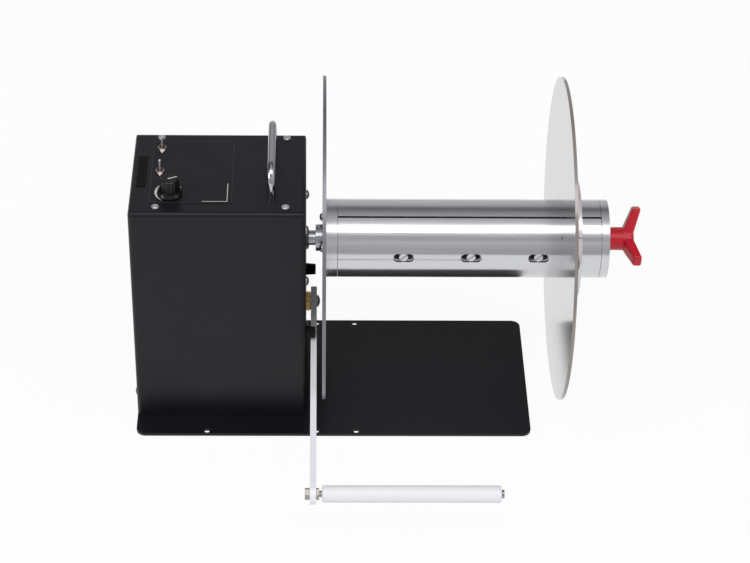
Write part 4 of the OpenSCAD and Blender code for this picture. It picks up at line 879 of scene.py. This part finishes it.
@dataclass
class WingedKnob(SubAssembly):
    """The moulded knob that tightens the jaws.

    Attributes:
        neck_radius_mm: Radius of the neck.
        wing_radius_mm: Radius to the wings' tips.
        root_mm: From the end cap to where the wings leave the neck.
        wing_thick_mm: Thickness of a wing along the mandrel.
        wing_wide_mm: Width of a wing across its spoke, at the root and at the tip.
        gusset_mm: Extra thickness at the back of a wing's root.
        dish_mm: How far the neck's end lies below the wings' faces.
        seat_mm: Rounding at the neck's seat: distance from the end cap, depth below the neck's radius.
        dome_mm: Rounding at the neck's end: distance from that end, depth below the neck's radius.
        hidden_mm: Radius at which each wing starts, inside the neck.
        lean_deg: Lean of the wings away from the mandrel.
        tip_round_mm: Radius of the edges round a wing's flat tip.
        tip_steps_deg: Where the sections lie round that radius.
        squareness: Exponent of a wing's section: one gives an ellipse and zero a rectangle.
        angles_deg: Angle of each wing above level, towards the front.
        voxel_mm: Grain at which the moulding's fillets are worked.
        fillet_passes: How often the fillets are smoothed.
        fillet_share: How far each pass goes.
        neck_sides: Number of sides round the neck, before the moulding.
        wing_sides: Number of sides round a wing, before the moulding.
        wing_steps: Number of faces along a wing, before the moulding.
    """

    neck_radius_mm: float = 11.25
    wing_radius_mm: float = 31.2
    root_mm: float = 19.0
    wing_thick_mm: float = 8.5
    wing_wide_mm: Pair = (16.0, 13.0)
    gusset_mm: float = 2.5
    dish_mm: float = 0.6
    seat_mm: tuple[Pair, ...] = ((0.3, 0.9), (0.6, 0.3), (1.2, 0.0))
    dome_mm: tuple[Pair, ...] = ((3.0, 0.4), (1.4, 1.4), (0.4, 3.0), (0.0, 5.0))
    hidden_mm: float = 4.0
    lean_deg: float = 15.0
    tip_round_mm: float = 1.6
    tip_steps_deg: tuple[float, ...] = (20.0, 40.0, 60.0, 80.0, 90.0)
    squareness: float = 0.4
    angles_deg: tuple[float, float, float] = (-10.0, 110.0, 230.0)
    voxel_mm: float = 0.5
    fillet_passes: int = 7
    fillet_share: float = 0.5
    neck_sides: int = 48
    wing_sides: int = 32
    wing_steps: int = 8

    def neck(self, start: Vector) -> tuple[list[Vector], Faces]:
        """Turn the neck's profile round the spindle.

        Args:
            start: The middle of the end cap's outer face.

        Returns:
            Points and faces, with the points on the spindle still to be welded.
        """
        full = self.neck_radius_mm
        front = self.root_mm + self.wing_thick_mm - self.dish_mm
        profile = [(self.seat_mm[0][0], 0.0)]
        profile += [(x, full - depth) for x, depth in self.seat_mm]
        profile += [(self.root_mm, full)]
        profile += [(front - x, full - depth) for x, depth in self.dome_mm]
        profile += [(front, 0.0)]
        sides = self.neck_sides
        points: list[Vector] = []
        for x, radius in profile:
            for k in range(sides):
                turn = math.tau * k / sides
                points.append(start + Vector((x, radius * math.cos(turn), radius * math.sin(turn))) * MM)
        return points, tube_faces(len(profile), sides)

    def blade(self, start: Vector, angle: float) -> tuple[list[Vector], Faces]:
        """Loft one wing along its spoke.

        Args:
            start: The middle of the end cap's outer face.
            angle: The wing's angle above level, in degrees.

        Returns:
            Points and faces of a closed form.
        """
        turn = math.radians(angle)
        out = Vector((0, -math.cos(turn), math.sin(turn)))
        across = Vector((0, math.sin(turn), math.cos(turn)))
        lean = math.tan(math.radians(self.lean_deg))
        bend = self.tip_round_mm
        first, straight = self.hidden_mm, self.wing_radius_mm - bend
        steps = self.wing_steps
        stations = [(first + (straight - first) * k / steps, 0.0) for k in range(steps + 1)]
        rounds = [math.radians(q) for q in self.tip_steps_deg]
        stations += [(straight + bend * math.sin(q), bend * (1 - math.cos(q))) for q in rounds]
        root_wide, tip_wide = self.wing_wide_mm
        sides = self.wing_sides
        points: list[Vector] = []
        for radius, pull in stations:
            free = radius - self.neck_radius_mm
            share = max(0.0, free / (self.wing_radius_mm - self.neck_radius_mm))
            half_thick = (self.wing_thick_mm + self.gusset_mm * (1 - share)) / 2
            half_wide = (root_wide + (tip_wide - root_wide) * share) / 2
            centre = self.root_mm + free * lean + self.wing_thick_mm - half_thick
            for k in range(sides):
                c, s = math.cos(math.tau * k / sides), math.sin(math.tau * k / sides)
                x = math.copysign(abs(c) ** self.squareness, c) * (half_thick - pull)
                y = math.copysign(abs(s) ** self.squareness, s) * (half_wide - pull)
                spot = Vector((centre + x, 0, 0)) + across * y + out * radius
                points.append(start + spot * MM)
        faces = tube_faces(len(stations), sides)
        faces.append(list(range(sides))[::-1])
        faces.append([(len(stations) - 1) * sides + k for k in range(sides)])
        return points, faces

    def build(self) -> None:
        """Build the moulded knob in one skin and dress it."""
        start = middle("end_cap")
        start.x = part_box("end_cap")[1].x
        points: list[Vector] = []
        faces: Faces = []
        forms = [self.neck(start)] + [self.blade(start, angle) for angle in self.angles_deg]
        for part_points, part_faces in forms:
            faces += [[k + len(points) for k in f] for f in part_faces]
            points += part_points
        rough = mesh_object("winged_knob_rough", points, faces, smooth=True)
        shell = bmesh.new()
        shell.from_mesh(rough.data)
        bmesh.ops.remove_doubles(shell, verts=shell.verts, dist=WELD_MM * MM)
        bmesh.ops.recalc_face_normals(shell, faces=shell.faces)
        shell.to_mesh(rough.data)
        shell.free()
        skin = rough.modifiers.new("moulding", "REMESH")
        skin.mode = "VOXEL"
        skin.voxel_size = self.voxel_mm * MM
        fillet = rough.modifiers.new("fillets", "SMOOTH")
        fillet.factor = self.fillet_share
        fillet.iterations = self.fillet_passes
        bpy.context.view_layer.update()
        moulded = rough.evaluated_get(bpy.context.evaluated_depsgraph_get())
        mesh = bpy.data.meshes.new_from_object(moulded)
        bpy.data.objects.remove(rough)
        for polygon in mesh.polygons:
            polygon.use_smooth = True
        mesh.materials.clear()
        knob = bpy.data.objects.new("winged_knob", mesh)
        bpy.context.scene.collection.objects.link(knob)
        self.place(knob, RED_NYLON, "grip_knob", "red_plastic")
        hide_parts("wing_knob")


@dataclass
class TensionArm(SubAssembly):
    """The sprung arm with its pivot, stops and guide roller."""

    def build(self) -> None:
        """Dress the arm's solids."""
        self.dress(TURNED_BRASS, "arm_bush")
        self.dress(BRIGHT_ZINC, "arm_shaft")
        self.dress(PASSIVATED_STEEL, "arm_fasteners", "roller_axle")
        self.dress(ANODISED_BAR, "tension_arm")
        self.dress(WHITE_ACETAL, "guide_roller")
        self.dress(MOULDED_RUBBER, "rubber_stops")
        self.dress(BLUED_STRIP, "arm_spring")
        self.dress(GALVANISED, "sensor_bracket")
        self.dress(COMPONENT_EPOXY, "arm_sensor")


@dataclass(frozen=True)
class Softbox:
    """A rectangular studio lamp.

    Attributes:
        name: The lamp's name.
        place: Its middle in metres, from the point under the machine.
        aim: The point that it faces.
        size: Width and height in metres.
        watts: Its power.
    """

    name: str
    place: tuple[float, float, float]
    aim: tuple[float, float, float]
    size: Pair
    watts: float

    def build(self) -> bpy.types.Object:
        """Hang the lamp.

        Returns:
            The lamp, linked into the scene.
        """
        lamp = bpy.data.lights.new(self.name, "AREA")
        lamp.shape = "RECTANGLE"
        lamp.size, lamp.size_y = self.size
        lamp.energy = self.watts
        made = bpy.data.objects.new(self.name, lamp)
        made.location = self.place
        made.rotation_euler = (Vector(self.aim) - Vector(self.place)).to_track_quat("-Z", "Y").to_euler()
        bpy.context.scene.collection.objects.link(made)
        return made


@dataclass
class Studio:
    """Floor, room, lamps and camera.

    Attributes:
        datum: The machine's measuring points.
        lens_mm: The camera's focal length.
        sensor_mm: Width of its sensor.
        sight_m: How far it sees.
        pitch: How far the camera looks down, in radians.
        yaw: How far it is turned, in radians.
        roll: How far it is tilted, in radians.
        eye_mm: The camera's place, measured on the machine.
        paper_m: Half the paper floor's width, and how far it runs to the front and the back.
        paper_colour: sRGB hex colour of the paper.
        paper_white: Share of plain white that the paper shows to the camera and to metal.
        light_tint: sRGB hex colour of the lamps and the room.
        room_levels: Brightness of the room by degrees from the front horizon over the top to the back.
        dim_side: Brightness left at the sides of the room behind the machine, as a share.
        dim_span: How far aside a ray has to point for the dimming to start and to be full.
        softboxes: The lamps.
    """

    datum: Datum
    lens_mm: float = 115.58
    sensor_mm: float = 36.0
    sight_m: float = 50.0
    pitch: float = 0.6387
    yaw: float = -0.0291
    roll: float = -0.0204
    eye_mm: tuple[float, float, float] = (12.51, -1896.93, 1527.35)
    paper_m: tuple[float, float, float] = (2.4, 0.72, 2.6)
    paper_colour: str = "#f2f2f2"
    paper_white: float = 0.94
    light_tint: str = "#fcfbff"
    room_levels: tuple[Pair, ...] = (
        (-30.0, 0.43), (2.0, 0.48), (15.0, 0.56), (24.0, 0.66), (29.0, 0.46), (36.0, 0.44),
        (44.0, 0.62), (73.0, 1.0), (82.0, 0.76), (90.0, 0.54), (108.0, 0.41), (116.0, 0.28),
        (131.0, 0.11), (139.0, 0.25), (147.0, 0.50), (180.0, 0.67),
    )
    dim_side: float = 0.25
    dim_span: Pair = (0.3, 0.6)
    softboxes: tuple[Softbox, ...] = field(
        default_factory=lambda: (
            Softbox(
                "overhead_softbox", place=(0.0, -1.04, 2.2), aim=(0.0, 0.05, 0.17), size=(2.8, 0.82),
                watts=18.0,
            ),
            Softbox(
                "left_softbox", place=(-2.3, -0.9, 1.0), aim=(0.1, 0.0, 0.15), size=(1.0, 1.4),
                watts=15.0,
            ),
            Softbox(
                "right_softbox", place=(2.2, -0.9, 0.9), aim=(0.1, 0.0, 0.15), size=(1.7, 1.9),
                watts=9.5,
            ),
        )
    )

    def camera(self) -> None:
        """Set the camera where the photograph was taken from."""
        right = Vector((math.cos(self.yaw), math.sin(self.yaw), 0))
        level = math.cos(self.pitch)
        ahead = Vector((-math.sin(self.yaw) * level, math.cos(self.yaw) * level, -math.sin(self.pitch)))
        up = right.cross(ahead)
        side = math.cos(self.roll) * right - math.sin(self.roll) * up
        top = math.sin(self.roll) * right + math.cos(self.roll) * up
        lens = bpy.data.cameras.new("photo_camera")
        lens.sensor_fit = "HORIZONTAL"
        lens.sensor_width = self.sensor_mm
        lens.lens = self.lens_mm
        lens.clip_end = self.sight_m
        made = bpy.data.objects.new("photo_camera", lens)
        turn = Matrix((side, top, -ahead)).transposed().to_4x4()
        made.matrix_world = Matrix.Translation(self.datum.at(*self.eye_mm)) @ turn
        bpy.context.scene.collection.objects.link(made)
        bpy.context.scene.camera = made

    def floor(self) -> None:
        """Lay a white paper floor that reads white to the eye and to metal, and keeps the shadow."""
        side, front, back = self.paper_m
        corners = [(-side, -front, 0), (side, -front, 0), (side, back, 0), (-side, back, 0)]
        made = mesh_object("studio_floor", corners, [range(len(corners))], smooth=False)
        paper = bpy.data.materials.new("white_studio_paper")
        paper.use_nodes = True
        tree = paper.node_tree
        tree.nodes.clear()
        path = add(tree, "ShaderNodeLightPath").outputs
        straight = {0: path["Is Camera Ray"], 1: path["Is Glossy Ray"]}
        seen = add(tree, "ShaderNodeMath", straight, operation="MAXIMUM")
        through = {0: seen.outputs[0], 1: path["Is Transmission Ray"]}
        shown = add(tree, "ShaderNodeMath", through, operation="MAXIMUM")
        share = {0: shown.outputs[0], 1: self.paper_white}
        part = add(tree, "ShaderNodeMath", share, operation="MULTIPLY")
        lit = add(tree, "ShaderNodeBsdfDiffuse", {"Color": linear(self.paper_colour)})
        glow = add(tree, "ShaderNodeEmission", {"Color": linear(WHITE), "Strength": 1.0})
        pair = {0: part.outputs[0], 1: lit.outputs["BSDF"], 2: glow.outputs["Emission"]}
        both = add(tree, "ShaderNodeMixShader", pair)
        add(tree, "ShaderNodeOutputMaterial", {"Surface": both.outputs["Shader"]})
        made.data.materials.append(paper)

    def room(self) -> None:
        """Light the room by its height and depth, and show it white to the camera."""
        world = bpy.data.worlds.new("studio_room")
        bpy.context.scene.world = world
        world.use_nodes = True
        tree = world.node_tree
        tree.nodes.clear()
        ray = add(tree, "ShaderNodeTexCoord").outputs["Generated"]
        split = add(tree, "ShaderNodeSeparateXYZ", {"Vector": ray}).outputs
        ahead = add(tree, "ShaderNodeMath", {0: split["Y"], 1: -1.0}, operation="MULTIPLY")
        turn = add(tree, "ShaderNodeMath", {0: split["Z"], 1: ahead.outputs[0]}, operation="ARCTAN2")
        first, last = self.room_levels[0][0], self.room_levels[-1][0]
        arc = {"From Min": math.radians(first), "From Max": math.radians(last)}
        share = add(tree, "ShaderNodeMapRange", {"Value": turn.outputs[0]} | arc)
        ramp = add(tree, "ShaderNodeValToRGB", {"Fac": share.outputs["Result"]})
        stops = ramp.color_ramp.elements
        for degrees, _ in self.room_levels[1:-1]:
            stops.new((degrees - first) / (last - first))
        tint = Vector(linear(self.light_tint)[:3])
        for stop, (_, level) in zip(stops, self.room_levels):
            stop.color = (*(tint * level), 1.0)
        rear = {0: split["Y"], 1: 0.0}
        behind = add(tree, "ShaderNodeMath", rear, operation="GREATER_THAN").outputs[0]
        aside = add(tree, "ShaderNodeMath", {0: split["X"]}, operation="ABSOLUTE").outputs[0]
        corner = add(tree, "ShaderNodeMath", {0: behind, 1: aside}, operation="MULTIPLY").outputs[0]
        near, far = self.dim_span
        fade = {"Value": corner, "From Min": near, "From Max": far, "To Min": 1.0}
        level = add(tree, "ShaderNodeMapRange", fade | {"To Max": self.dim_side}).outputs["Result"]
        glow = add(tree, "ShaderNodeBackground", {"Color": ramp.outputs["Color"], "Strength": level})
        white = add(tree, "ShaderNodeBackground", {"Color": linear(WHITE), "Strength": 1.0})
        eye = add(tree, "ShaderNodeLightPath").outputs["Is Camera Ray"]
        both = add(tree, "ShaderNodeMixShader", {0: eye, 1: glow.outputs[0], 2: white.outputs[0]})
        add(tree, "ShaderNodeOutputWorld", {"Surface": both.outputs["Shader"]})

    def build(self) -> None:
        """Set up the whole studio."""
        self.camera()
        self.floor()
        self.room()
        for box in self.softboxes:
            box.build().data.color = linear(self.light_tint)[:3]
        bpy.context.scene.view_settings.view_transform = "Standard"


def clear_scene() -> None:
    """Remove what Blender starts with."""
    for thing in list(bpy.data.objects):
        bpy.data.objects.remove(thing)


def main() -> None:
    """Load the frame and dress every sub-assembly."""
    logging.basicConfig(level=logging.INFO, format="%(name)s %(message)s")
    clear_scene()
    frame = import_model()
    datum = Datum.from_frame()
    Studio(datum).build()
    for kind in (Cabinet, ControlPanel, Drive, Mandrel, OuterFlange, WingedKnob, TensionArm):
        kind(datum, frame["nodes"]).build()


if __name__ == "__main__":
    main()
